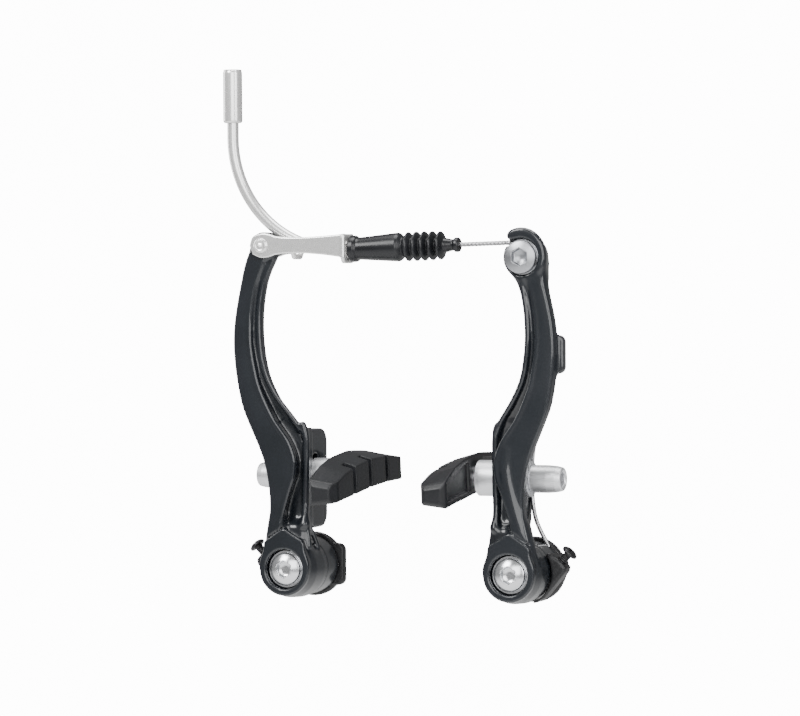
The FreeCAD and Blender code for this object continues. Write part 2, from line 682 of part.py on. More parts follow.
def build_pad(side, sign):
    """Rubber pad that curves round the rim, with water grooves and bevelled ends."""
    name = side + "_pad"
    x_back = size("pad_gap") / 2 + size("pad_thick")
    y_middle = depth(size("post_depth"))
    z_middle = size("post_height")
    tilt = Placement(Vector(sign * x_back, y_middle, z_middle), Rotation(Vector(1, 0, 0), size("pad_tilt")))
    body = new_body(name + "_rubber", tilt * Placement(Vector(0, -y_middle, -z_middle), Rotation()))
    outline = new_sketch(body, name + "_outline", "YZ_Plane", 0.0)
    half = size("pad_length") / 2
    curve = size("rim_radius")
    drop = curve - math.sqrt(curve ** 2 - half ** 2)
    top = z_middle + size("pad_height") / 2
    low = top - size("pad_height")
    corners = []
    for level in (top, low):
        arc = Part.Arc(Vector(y_middle - half, level - drop, 0), Vector(y_middle, level, 0),
                       Vector(y_middle + half, level - drop, 0))
        outline.addGeometry(arc)
        corners.append(level - drop)
    for end in (-half, half):
        start = Vector(y_middle + end, corners[0], 0)
        outline.addGeometry(Part.LineSegment(start, Vector(y_middle + end, corners[1], 0)))
    pad(body, name + "_block", outline, "pad_thick", backward=sign > 0)

    face = -sign * size("pad_thick")
    spacing, width, deep = (size(a) for a in ("groove_spacing", "groove_width", "groove_depth"))
    below = low - size("beyond")
    grooves = new_sketch(body, name + "_grooves", "XY_Plane", below)
    for step in (-1, 0, 1):
        y = y_middle + step * spacing
        lip = width / 2
        draw_polygon(grooves, [(face, y - lip), (face, y + lip),
                               (face + sign * deep, y + lip), (face + sign * deep, y - lip)])
    pocket(body, name + "_groove_cuts", grooves, "pad_height + 2 * beyond", backward=True)
    ends = new_sketch(body, name + "_bevels", "XY_Plane", below)
    bevel_in, bevel_along = size("bevel_depth"), size("bevel_length")
    for end in (-1, 1):
        y = y_middle + end * half
        draw_polygon(ends, [(face, y), (face + sign * bevel_in, y), (face, y - end * bevel_along)])
    pocket(body, name + "_bevel_cuts", ends, "pad_height + 2 * beyond", backward=True)
    return publish(body, side + "_brake_pad")


def washer_pair(name, sign, out_at, dished_length, dished_first):
    """A domed and a dished washer on the post; out_at is where their stack begins."""
    y, z = depth(size("post_depth")), size("post_height")
    edge_drop = math.sqrt(size("cup_sphere") ** 2 - size("cup_radius") ** 2)

    def at(outward):
        return along_x(sign, sign * outward, y, z)

    if dished_first:
        split = out_at + dished_length
        centre = split + size("cup_play") + edge_drop
        domed_at = split - size("dome_rise")
        domed_end = split + size("cup_play") + size("domed_rim")
        dished_at, dished_end = out_at, split
    else:
        split = out_at + size("domed_rim")
        centre = split - edge_drop
        domed_at, domed_end = out_at, split + size("dome_rise")
        dished_at, dished_end = split, out_at + dished_length
    blank = cylinder(name + "_domed_blank", "cup_radius", "%g" % (domed_end - domed_at), at(domed_at))
    domed = common(name + "_domed_solid", blank, sphere(name + "_dome", "cup_sphere", at(centre)))
    hole = cylinder(name + "_domed_hole", "cup_bore_radius", "%g" % (domed_end - domed_at), at(domed_at))
    publish(cut(name + "_domed", domed, hole), name + "_domed_washer")

    length = dished_end - dished_at
    blank = cylinder(name + "_dished_blank", "cup_radius", "%g" % length, at(dished_at))
    dish = sphere(name + "_dish", "cup_sphere + cup_play", at(centre))
    hole = cylinder(name + "_dished_hole", "cup_bore_radius", "%g" % length, at(dished_at))
    dished = cut(name + "_dished", blank, fuse(name + "_dished_cuts", dish, hole))
    publish(dished, name + ("_dished_washer" if dished_first else "_dished_spacer"))
    return domed_end


def build_shoe(side, sign):
    """Pad with its post, the washer stacks that clamp the plate, and the nut."""
    build_pad(side, sign)
    y, z = depth(size("post_depth")), size("post_height")
    back = size("pad_gap") / 2 + size("pad_thick")
    place = along_x(sign, sign * back, y, z)
    flange = cylinder(side + "_post_flange", "post_flange_radius", "post_flange_thick", place)
    stud = cylinder(side + "_post_stud", "post_radius", "post_length", place)
    publish(fuse(side + "_post", flange, stud), side + "_pad_post")

    stack = back + size("post_flange_thick")
    plate_in = PIVOT_X - size("plate_inner")
    washer_pair(side + "_inner", sign, stack, plate_in - stack, False)
    nut_at = washer_pair(side + "_outer", sign, PIVOT_X, size("dished_rim"), True)

    place = along_x(sign, sign * nut_at, y, z)
    sleeve = cylinder(side + "_nut_sleeve", "nut_radius", "nut_length - nut_taper", place)
    end = along_x(sign, sign * (nut_at + size("nut_length") - size("nut_taper")), y, z)
    nose = cone(side + "_nut_nose", "nut_radius", "nut_end_radius", "nut_taper", end)
    thread = cylinder(side + "_nut_thread", "nut_bore_radius", "nut_thread_depth", place)
    socket = hexagon(side + "_nut_socket", "hex_key_corner", "nut_length", place)
    nut = cut(side + "_nut", fuse(side + "_nut_solid", sleeve, nose),
              fuse(side + "_nut_cuts", thread, socket))
    publish(nut, side + "_sleeve_nut")


for side, sign in SIDES:
    build_pivot(side, sign)
    build_holder(side, sign)
    build_tension_screw(side, sign)
    build_shoe(side, sign)


# --- link, guide tube, boot and cable ---------------------------------------

SLOPE = math.radians(size("cable_slope"))
CABLE_Y = depth(size("tube_depth"))
CABLE_WAY = Vector(math.cos(SLOPE), 0, math.sin(SLOPE))


def on_cable(x):
    """Point on the straight cable line, by its X."""
    rise = (x - size("anchor_x")) * math.tan(SLOPE)
    return Vector(x, CABLE_Y, size("anchor_cable_z") + rise)


def along_cable(x):
    """Local Z runs along the cable line, towards the anchor."""
    return Placement(on_cable(x), Rotation(Vector(0, 0, 1), CABLE_WAY))


# Edges of the link's side plates: along the link from the rivet, up from it.
LINK_TOP = ((0.0, 4.05), (6.0, 2.95), (12.5, 2.65), (21.5, 2.95), (30.3, 3.45))
LINK_LOW = ((0.0, -4.05), (6.0, -2.95), (12.5, -2.65), (21.5, -3.15), (30.3, -4.25))
BRACKET_LIP = -5.95
BRACKET_SLANT = 2.6
BRIDGE_ALONG = 11.4
BRIDGE_DROP = 3.3


def build_link():
    """Stamped U-shaped link: two side plates, a bored end bracket and a bridge."""
    px, pz = -size("link_pivot_x"), size("link_pivot_z")
    thick = size("link_plate_thick")
    near = size("link_front") - thick
    far = size("link_front") + size("link_room") + thick
    top = [(px + along, pz + up) for along, up in LINK_TOP]
    low = [(px + along, pz + up) for along, up in LINK_LOW]
    body = new_body("link_stamping", NOWHERE)
    for name, back in (("link_front", near + thick), ("link_rear", far)):
        sketch = new_sketch(body, name + "_outline", "XZ_Plane", -depth(back))
        draw_loop(sketch, top, (top[-1], low[-1]), low, (low[0], top[0]))
        pad(body, name + "_plate", sketch, "link_plate_thick")
        ring = new_sketch(body, name + "_circle", "XZ_Plane", -depth(back))
        draw_circle(ring, px, pz, "link_end_radius")
        pad(body, name + "_end", ring, "link_plate_thick")
        if name == "link_front":
            bracket_in = -size("link_bracket_x") - thick
            bracket = new_sketch(body, "link_bracket_outline", "YZ_Plane", bracket_in)
            y_near, y_far = depth(near), depth(far)
            high, lip = top[-1][1], pz + BRACKET_LIP
            draw_polygon(bracket, [(y_near, high), (y_near, lip + BRACKET_SLANT),
                                   (y_near + BRACKET_SLANT, lip), (y_far - BRACKET_SLANT, lip),
                                   (y_far, lip + BRACKET_SLANT), (y_far, high)])
            pad(body, "link_bracket", bracket, "link_plate_thick")
    beyond = size("beyond")
    rivet_hole = cylinder("link_rivet_hole", "rivet_bore_radius", "arm_depth",
                          along_y(px, FACET_Y - beyond, pz))
    tube_hole = cylinder("link_tube_hole", "tube_radius + tube_play", "2 * beyond",
                         along_cable(bracket_in - beyond))
    bridge = cylinder("link_bridge", "bridge_radius", "link_room + link_plate_thick",
                      along_y(px + BRIDGE_ALONG, depth(near + thick / 2), pz - BRIDGE_DROP))
    solid = fuse("link_solid", body, bridge)
    return cut("link", solid, fuse("link_holes", rivet_hole, tube_hole))


publish(build_link(), "cable_link")


def build_rivet():
    """Rivet through the link's two plates and the left arm's boss."""
    px, pz = -size("link_pivot_x"), size("link_pivot_z")
    front = size("link_front") - size("link_plate_thick")
    back = front + size("link_room") + 2 * size("link_plate_thick")
    shank = cylinder("rivet_shank", "rivet_radius", "link_room + 2 * link_plate_thick",
                     along_y(px, depth(front), pz))
    front_head = cylinder("rivet_front_head", "rivet_head_radius", "rivet_head_height",
                          along_y(px, depth(front) - size("rivet_head_height"), pz))
    back_head = cylinder("rivet_back_head", "rivet_head_radius", "rivet_head_height",
                         along_y(px, depth(back), pz))
    return fuse("rivet", shank, front_head, back_head)


publish(build_rivet(), "link_rivet")


def tube_path(start_x, top_z):
    """Route of the guide tube: straight nose, one bend, upright leg."""
    radius = size("tube_bend_radius")
    centre_x = radius - size("tube_leg_x")
    bend_start = on_cable(centre_x + radius * math.sin(SLOPE))
    upward = Vector(-math.sin(SLOPE), 0, math.cos(SLOPE))
    centre = bend_start + upward * radius
    bend_end = centre + Vector(-radius, 0, 0)
    half_turn = (math.pi / 2 + SLOPE) / 2
    way = Vector(-math.cos(half_turn), 0, -math.sin(half_turn))
    edges = [Part.LineSegment(on_cable(start_x), bend_start).toShape(),
             Part.Arc(bend_start, centre + way * radius, bend_end).toShape(),
             Part.LineSegment(bend_end, Vector(bend_end.x, bend_end.y, top_z)).toShape()]
    return Part.Wire(edges)


COLLAR_START_X = -16.9
INNER_CABLE_X = -19.4
# How far below the housing's seat the tube, liner and inner cable stop.
TUBE_DROP = 0.6
LINER_DROP = 1.1
INNER_CABLE_DROP = 2.6
# The liner starts this far inside the tube's tip.
LINER_INSET = 0.5


def build_guide():
    """Guide tube with its collar, liner, ferrule and the cable piece inside it."""
    tip_x = -size("tube_tip_x")
    floor = size("ferrule_bottom") + size("ferrule_length") - size("ferrule_bore_depth")
    tube_top = floor - TUBE_DROP
    path = tube_path(tip_x, tube_top)
    outside = tube_along(path, size("tube_radius"))
    inside = tube_along(path, size("tube_bore_radius"))
    collar = Part.makeCylinder(size("collar_radius"), size("collar_length"))
    collar.Placement = along_cable(COLLAR_START_X)
    publish(shaped("guide", outside.fuse(collar).cut(inside)), "guide_tube")

    liner_outer = size("tube_bore_radius") - size("liner_play")
    liner_path = tube_path(tip_x - LINER_INSET, floor - LINER_DROP)
    sleeve = tube_along(liner_path, liner_outer)
    liner_bore = tube_along(liner_path, liner_outer - size("liner_wall"))
    publish(shaped("liner", sleeve.cut(liner_bore)), "tube_liner")

    inner_path = tube_path(INNER_CABLE_X, floor - INNER_CABLE_DROP)
    publish(shaped("guided_cable", tube_along(inner_path, size("cable_radius"))), "cable_in_tube")

    leg_x = -size("tube_leg_x")
    bottom = Placement(Vector(leg_x, CABLE_Y, size("ferrule_bottom")), Rotation())
    shell = cylinder("ferrule_shell", "ferrule_radius", "ferrule_length", bottom)
    mouth = cylinder("ferrule_mouth", "ferrule_bore_radius", "ferrule_bore_depth",
                     Placement(Vector(leg_x, CABLE_Y, floor), Rotation()))
    seat_length = "ferrule_length - ferrule_bore_depth - %g" % TUBE_DROP
    seat = cylinder("ferrule_seat", "tube_radius", seat_length, bottom)
    way = cylinder("ferrule_way", "tube_bore_radius", "ferrule_length", bottom)
    publish(cut("ferrule", shell, fuse("ferrule_bores", mouth, seat, way)), "housing_ferrule")


build_guide()

# Boot outline along its axis: (distance from the lip, radius).
BOOT_LIP = ((0.0, 4.4), (2.4, 4.4), (3.1, 3.65), (17.0, 4.8), (18.0, 4.7), (19.3, 3.25))
BOOT_RINGS = 4
BOOT_FIRST_RING = 20.75
BOOT_PITCH = 2.83
BOOT_RING_RADIUS = 4.9
BOOT_VALLEY_RADIUS = 3.25
BOOT_TIP = ((36.2, 1.95), (36.9, 1.85), (37.2, 2.6), (38.8, 2.6))
BOOT_BORE = ((38.8, 1.05), (35.5, 1.05), (35.2, 1.6), (19.0, 2.05), (1.4, 2.05), (1.4, 3.1), (0.0, 3.1))


def build_boot():
    """Rubber bellows boot, turned about the cable line."""
    outline = list(BOOT_LIP)
    for ring in range(BOOT_RINGS + 1):
        peak = BOOT_FIRST_RING + ring * BOOT_PITCH
        outline.append((peak, BOOT_RING_RADIUS))
        if ring < BOOT_RINGS:
            outline.append((peak + BOOT_PITCH / 2, BOOT_VALLEY_RADIUS))
    outline += list(BOOT_TIP) + list(BOOT_BORE)
    body = new_body("boot_rubber", along_cable(-size("boot_start_x")))
    sketch = new_sketch(body, "boot_outline", "XZ_Plane")
    draw_polygon(sketch, [(radius, along) for along, radius in outline])
    turned = body.newObject("PartDesign::Revolution", "boot_turned")
    turned.Profile = sketch
    turned.ReferenceAxis = (sketch, ["V_Axis"])
    turned.Angle = 360.0
    return body


publish(build_boot(), "cable_boot")

def cable_piece(name, start, end):
    """Straight piece of the inner cable between two places on the cable line."""
    length = (size(end) - size(start)) / math.cos(SLOPE)
    return cylinder(name, "cable_radius", "%g" % length, along_cable(size(start)))


publish(cable_piece("span", "span_start_x", "span_end_x"), "cable_span")
publish(cable_piece("tail", "tail_start_x", "tail_end_x"), "cable_tail")


def build_anchor():
    """Bolt and washer that clamp the cable to the right arm."""
    x, z = size("anchor_x"), size("anchor_z")
    seat = depth(size("tube_depth") - size("cable_radius"))
    washer_front = seat - size("anchor_washer_thick")
    place = along_y(x, washer_front, z)
    disc = cylinder("anchor_disc", "anchor_washer_radius", "anchor_washer_thick", place)
    hole = cylinder("anchor_hole", "bolt_radius + washer_play", "anchor_washer_thick", place)
    publish(cut("anchor_ring", disc, hole), "anchor_washer")
    head = ("anchor_head_radius", "anchor_head_height", "anchor_dome_radius")
    publish(build_bolt("anchor", x, z, washer_front, head, "anchor_length"), "anchor_bolt")


build_anchor()

# --- checks and files -------------------------------------------------------

doc.recompute()
for obj in doc.Objects:
    if "Invalid" in obj.State or "Error" in obj.State:
        raise RuntimeError("%s did not recompute: %s" % (obj.Name, obj.State))

os.makedirs("parts", exist_ok=True)
for obj in subparts:
    shape = obj.Shape
    if shape.isNull() or not shape.isValid():
        raise RuntimeError(obj.Label + " has no valid shape")
    print("%-26s solids %d  volume %9.1f mm3" % (obj.Label, len(shape.Solids), shape.Volume))
    shape.exportStep("parts/%s.step" % obj.Label)
print(len(subparts), "sub-parts")
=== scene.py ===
import json
import math

import bpy
import numpy as np
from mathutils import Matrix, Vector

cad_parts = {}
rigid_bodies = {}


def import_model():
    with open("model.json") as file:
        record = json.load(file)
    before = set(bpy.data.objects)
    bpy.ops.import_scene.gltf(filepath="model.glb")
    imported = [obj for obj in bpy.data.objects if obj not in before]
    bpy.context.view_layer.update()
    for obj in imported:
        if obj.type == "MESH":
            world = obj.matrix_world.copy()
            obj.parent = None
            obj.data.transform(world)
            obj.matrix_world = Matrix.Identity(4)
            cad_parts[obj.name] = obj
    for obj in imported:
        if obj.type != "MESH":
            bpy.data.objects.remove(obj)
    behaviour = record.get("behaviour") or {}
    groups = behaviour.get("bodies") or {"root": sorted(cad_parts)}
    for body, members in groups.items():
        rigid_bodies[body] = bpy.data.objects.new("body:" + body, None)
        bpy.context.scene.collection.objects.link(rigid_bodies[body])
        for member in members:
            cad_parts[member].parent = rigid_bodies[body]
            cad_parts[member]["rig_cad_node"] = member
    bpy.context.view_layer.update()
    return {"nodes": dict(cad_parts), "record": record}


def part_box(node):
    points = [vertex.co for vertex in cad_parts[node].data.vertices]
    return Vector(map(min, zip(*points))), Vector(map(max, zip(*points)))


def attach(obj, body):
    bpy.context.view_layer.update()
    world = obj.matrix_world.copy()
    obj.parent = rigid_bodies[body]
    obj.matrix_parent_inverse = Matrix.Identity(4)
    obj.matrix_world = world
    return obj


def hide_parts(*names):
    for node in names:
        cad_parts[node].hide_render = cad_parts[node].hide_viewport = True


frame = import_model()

import openvdb
from mathutils import Matrix, Vector

# The looks of a linear-pull rim brake. Shapes are worked out in millimetres, in
# the frame's own axes: X across the wheel, Y towards the frame, Z up the arms.
# Sub-parts with cast or moulded forms are modelled as distance fields (negative
# inside), which blend into each other with fillets, and are then meshed.

MM = 0.001
SIDES = (("left", -1), ("right", 1))


def centre_of(node):
    """Middle of a CAD node's box, in millimetres."""
    low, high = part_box(node)
    return (low + high) / 2 / MM


PIVOT_X = centre_of("right_mounting_bolt").x
FACET_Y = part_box("right_brake_arm")[0].y / MM


# --- distance fields --------------------------------------------------------

class Space:
    """A block of points, in millimetres, on which a shape is worked out."""

    def __init__(self, low, high, step):
        self.low = np.array(low, float)
        self.step = step
        axes = [np.arange(a, b + step, step, dtype=np.float32) for a, b in zip(low, high)]
        self.x, self.y, self.z = np.meshgrid(*axes, indexing="ij", sparse=True)


def either(a, b, fillet=0.0):
    """Both shapes, joined with a fillet."""
    if fillet <= 0:
        return np.minimum(a, b)
    share = np.clip(0.5 + 0.5 * (b - a) / fillet, 0, 1)
    return b + (a - b) * share - fillet * share * (1 - share)


def both(a, b, fillet=0.0):
    """Only where the two shapes overlap."""
    return -either(-a, -b, fillet)


def carve(a, b, fillet=0.0):
    """The first shape with the second cut out of it."""
    return -either(-a, b, fillet)


def smooth_line(points, steps=10, closed=False):
    """Points along a smooth curve through the given points."""
    p = np.array(points, float)
    if closed:
        p = np.vstack([p[-1:], p, p[:2]])
    else:
        p = np.vstack([2 * p[0] - p[1], p, 2 * p[-1] - p[-2]])
    t = np.linspace(0, 1, steps, endpoint=False)[:, None]
    out = []
    for a, b, c, d in zip(p, p[1:], p[2:], p[3:]):
        out.append(0.5 * (2 * b + (c - a) * t + (2 * a - 5 * b + 4 * c - d) * t ** 2
                          + (3 * b - a - 3 * c + d) * t ** 3))
    line = np.vstack(out)
    return line if closed else np.vstack([line, p[-2]])


def line_distance(u, v, points):
    """Distance from an open line of straight runs, in a plane."""
    best = None
    for a, b in zip(points[:-1], points[1:]):
        run = b - a
        along = np.clip(((u - a[0]) * run[0] + (v - a[1]) * run[1]) / (run @ run), 0, 1)
        d = np.hypot(u - a[0] - along * run[0], v - a[1] - along * run[1])
        best = d if best is None else np.minimum(best, d)
    return best


def outline(u, v, points):
    """Signed distance from a closed outline, in a plane."""
    ring = np.vstack([points, points[:1]])
    inside = np.zeros(np.broadcast(u, v).shape, bool)
    for a, b in zip(ring[:-1], ring[1:]):
        if a[1] == b[1]:
            continue
        crosses = (a[1] > v) != (b[1] > v)
        inside ^= crosses & (u < (b[0] - a[0]) * (v - a[1]) / (b[1] - a[1]) + a[0])
    return np.where(inside, -1, 1) * line_distance(u, v, ring)


def slab(w, low, high):
    """Between two parallel planes."""
    return np.abs(w - (low + high) / 2) - (high - low) / 2


def rounded(flat, thick, radius):
    """An outline and a slab, joined with a round edge."""
    a, b = flat + radius, thick + radius
    return np.minimum(np.maximum(a, b), 0) + np.hypot(np.maximum(a, 0), np.maximum(b, 0)) - radius


def disc(u, v, centre, radius):
    return np.hypot(u - centre[0], v - centre[1]) - radius


def tube_line(x, y, z, points, radii):
    """A round rod along straight runs, thick by the radius at each point."""
    best = None
    for a, b, ra, rb in zip(points[:-1], points[1:], radii[:-1], radii[1:]):
        a, b = np.array(a, float), np.array(b, float)
        run = b - a
        along = np.clip(((x - a[0]) * run[0] + (y - a[1]) * run[1] + (z - a[2]) * run[2])
                        / (run @ run), 0, 1)
        d = np.sqrt((x - a[0] - along * run[0]) ** 2 + (y - a[1] - along * run[1]) ** 2
                    + (z - a[2] - along * run[2]) ** 2) - (ra + (rb - ra) * along)
        best = d if best is None else np.minimum(best, d)
    return best


def soften(field):
    """The field with its sharpest edges worn off."""
    for axis in range(3):
        before = np.roll(field, 1, axis)
        after = np.roll(field, -1, axis)
        field = 0.25 * before + 0.5 * field + 0.25 * after
    return field


def mesh_piece(name, verts, faces):
    """A new piece from points in millimetres."""
    mesh = bpy.data.meshes.new(name)
    mesh.from_pydata([tuple(v) for v in np.asarray(verts) * MM], [], [tuple(f) for f in faces])
    mesh.validate()
    mesh.shade_smooth()
    piece = bpy.data.objects.new(name, mesh)
    bpy.context.scene.collection.objects.link(piece)
    return piece


def field_piece(name, space, field):
    """A piece whose surface is where the field is zero."""
    grid = openvdb.FloatGrid()
    grid.copyFromArray(np.ascontiguousarray(field, dtype=np.float32))
    points, quads = grid.convertToQuads(isovalue=0.0)
    verts = points * space.step + space.low
    a, b, c = (verts[quads[:, i]] for i in (0, 1, 2))
    if np.einsum("ij,ij->i", a, np.cross(b, c)).sum() < 0:
        quads = quads[:, ::-1]
    return mesh_piece(name, verts, quads)


def skin(name, rings, closed=False):
    """A piece from rows of points, each row a ring; the ends are capped, or joined."""
    rows, around = rings.shape[:2]
    index = np.arange(rows * around).reshape(rows, around)
    following = np.roll(index, -1, axis=1)
    last = rows if closed else rows - 1
    faces = []
    for row in range(last):
        onward = (row + 1) % rows
        faces += list(zip(index[row], following[row], following[onward], index[onward]))
    if not closed:
        faces += [tuple(index[0][::-1]), tuple(index[-1])]
    return mesh_piece(name, rings.reshape(-1, 3), [tuple(int(i) for i in face) for face in faces])


def square_to(way):
    """Two directions square to a direction and to each other."""
    first = np.cross(way, (0, 0, 1) if abs(way[2]) < 0.9 else (1, 0, 0))
    first /= np.linalg.norm(first)
    return first, np.cross(way, first)


def soft_corners(profile, radius=0.2, steps=4):
    """The profile with each corner rounded."""
    points = np.array(profile, float)
    out = [points[0]]
    for before, corner, after in zip(points, points[1:], points[2:]):
        back, onward = before - corner, after - corner
        reach = min(radius, 0.45 * np.linalg.norm(back), 0.45 * np.linalg.norm(onward))
        start = corner + back / np.linalg.norm(back) * reach
        end = corner + onward / np.linalg.norm(onward) * reach
        for t in np.linspace(0, 1, steps):
            out.append((1 - t) ** 2 * start + 2 * t * (1 - t) * corner + t ** 2 * end)
    return np.array(out + [points[-1]])


def turned(name, start, way, profile, around=64, closed=False):
    """A turned piece: the profile gives (distance along, radius)."""
    way = np.array(way, float) / np.linalg.norm(way)
    first, second = square_to(way)
    angle = np.linspace(0, 2 * math.pi, around, endpoint=False)[:, None]
    circle = np.cos(angle) * first + np.sin(angle) * second
    rings = np.array([np.array(start) + way * along + circle * radius for along, radius in profile])
    return skin(name, rings, closed)


def swept(name, path, radius, around=24, strands=0, lay=9.0):
    """A rod along a path; with strands, it is a twisted cable."""
    path = np.array(path, float)
    ways = np.gradient(path, axis=0)
    ways /= np.linalg.norm(ways, axis=1)[:, None]
    run = np.concatenate([[0], np.cumsum(np.linalg.norm(np.diff(path, axis=0), axis=1))])
    first = square_to(ways[0])[0]
    angle = np.linspace(0, 2 * math.pi, around, endpoint=False)
    rings = []
    for point, way, along in zip(path, ways, run):
        first = first - way * (first @ way)
        first /= np.linalg.norm(first)
        second = np.cross(way, first)
        reach = np.full(around, float(radius))
        if strands:
            phase = (angle + 2 * math.pi * along / lay) * strands / 2
            reach = radius * (0.72 + 0.28 * np.abs(np.cos(phase)) ** 0.7)
        circle = np.cos(angle)[:, None] * first + np.sin(angle)[:, None] * second
        rings.append(point + reach[:, None] * circle)
    return skin(name, np.array(rings))


def frame_of(space, centre, way):
    """Distance along an axis and away from it, and two directions across it."""
    way = np.array(way, float) / np.linalg.norm(way)
    first, second = square_to(way)
    x, y, z = space.x - centre[0], space.y - centre[1], space.z - centre[2]
    along = x * way[0] + y * way[1] + z * way[2]
    u = x * first[0] + y * first[1] + z * first[2]
    v = x * second[0] + y * second[1] + z * second[2]
    return along, u, v


def hexagon(u, v, across):
    """Distance from a hexagon of that width across its flats."""
    edge = np.abs(u)
    for turn in (60, 120):
        a = math.radians(turn)
        edge = np.maximum(edge, np.abs(u * math.cos(a) + v * math.sin(a)))
    return edge - across / 2


# --- materials --------------------------------------------------------------

def new_material(name, color, roughness, metallic=0.0, coat=0.0, coat_roughness=0.05, specular=0.5):
    """A principled material and its parts, for the functions below to add to."""
    material = bpy.data.materials.new(name)
    material.use_nodes = True
    tree = material.node_tree
    shader = tree.nodes["Principled BSDF"]
    shader.inputs["Base Color"].default_value = (*color, 1)
    shader.inputs["Roughness"].default_value = roughness
    shader.inputs["Metallic"].default_value = metallic
    shader.inputs["Coat Weight"].default_value = coat
    shader.inputs["Coat Roughness"].default_value = coat_roughness
    shader.inputs["Specular IOR Level"].default_value = specular
    return material, tree, shader


def place_of(tree, stretch=(1, 1, 1)):
    """Object coordinates, stretched."""
    coords = tree.nodes.new("ShaderNodeTexCoord")
    mapping = tree.nodes.new("ShaderNodeMapping")
    mapping.inputs["Scale"].default_value = stretch
    tree.links.new(coords.outputs["Object"], mapping.inputs["Vector"])
    return mapping.outputs["Vector"]


def noise_of(tree, per_metre, detail=3.0, stretch=(1, 1, 1)):
    noise = tree.nodes.new("ShaderNodeTexNoise")
    noise.inputs["Scale"].default_value = per_metre
    noise.inputs["Detail"].default_value = detail
    tree.links.new(place_of(tree, stretch), noise.inputs["Vector"])
    return noise.outputs["Fac"]


def ramp_of(tree, factor, low, high, start=0.3, end=0.7):
    """A colour or number that varies with a factor."""
    ramp = tree.nodes.new("ShaderNodeMapRange")
    ramp.inputs["From Min"].default_value = start
    ramp.inputs["From Max"].default_value = end
    ramp.inputs["To Min"].default_value = low
    ramp.inputs["To Max"].default_value = high
    tree.links.new(factor, ramp.inputs["Value"])
    return ramp.outputs["Result"]


def colors_of(tree, factor, low, high, start=0.3, end=0.7):
    ramp = tree.nodes.new("ShaderNodeValToRGB")
    ramp.color_ramp.elements[0].position = start
    ramp.color_ramp.elements[1].position = end
    ramp.color_ramp.elements[0].color = (*low, 1)
    ramp.color_ramp.elements[1].color = (*high, 1)
    tree.links.new(factor, ramp.inputs["Fac"])
    return ramp.outputs["Color"]


def bump_of(tree, shader, height, strength, distance):
    bump = tree.nodes.new("ShaderNodeBump")
    bump.inputs["Strength"].default_value = strength
    bump.inputs["Distance"].default_value = distance
    tree.links.new(height, bump.inputs["Height"])
    tree.links.new(bump.outputs["Normal"], shader.inputs["Normal"])
    return bump


def arm_paint():
    """Gloss black enamel on cast aluminium, with a faint orange peel."""
    material, tree, shader = new_material("arm_paint", (0.007, 0.009, 0.012), 0.3,
                                          coat=0.75, coat_roughness=0.06, specular=0.35)
    peel = noise_of(tree, 400, 2.0)
    bump_of(tree, shader, peel, 0.012, 0.0001)
    wear = noise_of(tree, 60, 3.0)
    tree.links.new(ramp_of(tree, wear, 0.3, 0.38), shader.inputs["Roughness"])
    tree.links.new(colors_of(tree, wear, (0.006, 0.008, 0.011), (0.009, 0.011, 0.015)),
                   shader.inputs["Base Color"])
    return material


def plated(name, color, roughness, grain, stretch, metallic=1.0):
    """Plated or tumbled metal with a fine grain, stretched along the way it was made."""
    material, tree, shader = new_material(name, color, roughness, metallic=metallic)
    fine = noise_of(tree, grain, 2.0, stretch)
    tree.links.new(ramp_of(tree, fine, roughness * 0.93, roughness * 1.08), shader.inputs["Roughness"])
    dark = tuple(c * 0.95 for c in color)
    cloud = noise_of(tree, grain * 0.2, 3.0, stretch)
    tree.links.new(colors_of(tree, cloud, dark, color), shader.inputs["Base Color"])
    return material


def moulded(name, color, roughness, grain, depth_of_grain):
    """Moulded plastic or rubber with a fine grain."""
    material, tree, shader = new_material(name, color, roughness, specular=0.4)
    fine = noise_of(tree, grain, 3.0)
    bump_of(tree, shader, fine, 0.2, depth_of_grain)
    cloud = noise_of(tree, 90, 3.0)
    tree.links.new(ramp_of(tree, cloud, roughness * 0.85, roughness * 1.15), shader.inputs["Roughness"])
    pale = tuple(c * 1.5 for c in color)
    tree.links.new(colors_of(tree, cloud, color, pale), shader.inputs["Base Color"])
    return material


MATERIALS = {
    "arm_paint": arm_paint(),
    "bush_steel": plated("bush_steel", (0.5, 0.5, 0.5), 0.3, 1500, (1, 0.1, 1)),
    "zinc_steel": plated("zinc_steel", (0.74, 0.75, 0.77), 0.22, 700, (1, 1, 1), 0.95),
    "holder_plastic": moulded("holder_plastic", (0.008, 0.008, 0.009), 0.36, 1200, 0.00005),
    "spring_wire": plated("spring_wire", (0.62, 0.62, 0.63), 0.25, 1500, (1, 1, 0.1)),
    "black_screw": moulded("black_screw", (0.008, 0.008, 0.009), 0.3, 1500, 0.00005),
    "pad_rubber": moulded("pad_rubber", (0.006, 0.0065, 0.008), 0.42, 1500, 0.00003),
    "satin_aluminium": plated("satin_aluminium", (0.8, 0.81, 0.83), 0.42, 1500, (1, 1, 1), 0.85),
    "bright_nickel": plated("bright_nickel", (0.94, 0.935, 0.925), 0.26, 900, (1, 1, 1), 0.72),
    "liner_plastic": moulded("liner_plastic", (0.7, 0.7, 0.66), 0.4, 900, 0.00005),
    "cable_steel": plated("cable_steel", (0.4, 0.4, 0.41), 0.3, 2500, (1, 1, 1)),
    "boot_rubber": moulded("boot_rubber", (0.007, 0.0075, 0.009), 0.3, 1200, 0.00002),
}

SLOT_OF = {part["node"]: part["material_slot"] for part in frame["record"]["subparts"]}
BODY_OF = {node: body for body, nodes in frame["record"]["behaviour"]["bodies"].items() for node in nodes}


def finish_with(piece, slot):
    piece.data.materials.clear()
    piece.data.materials.append(MATERIALS[slot])
    return piece


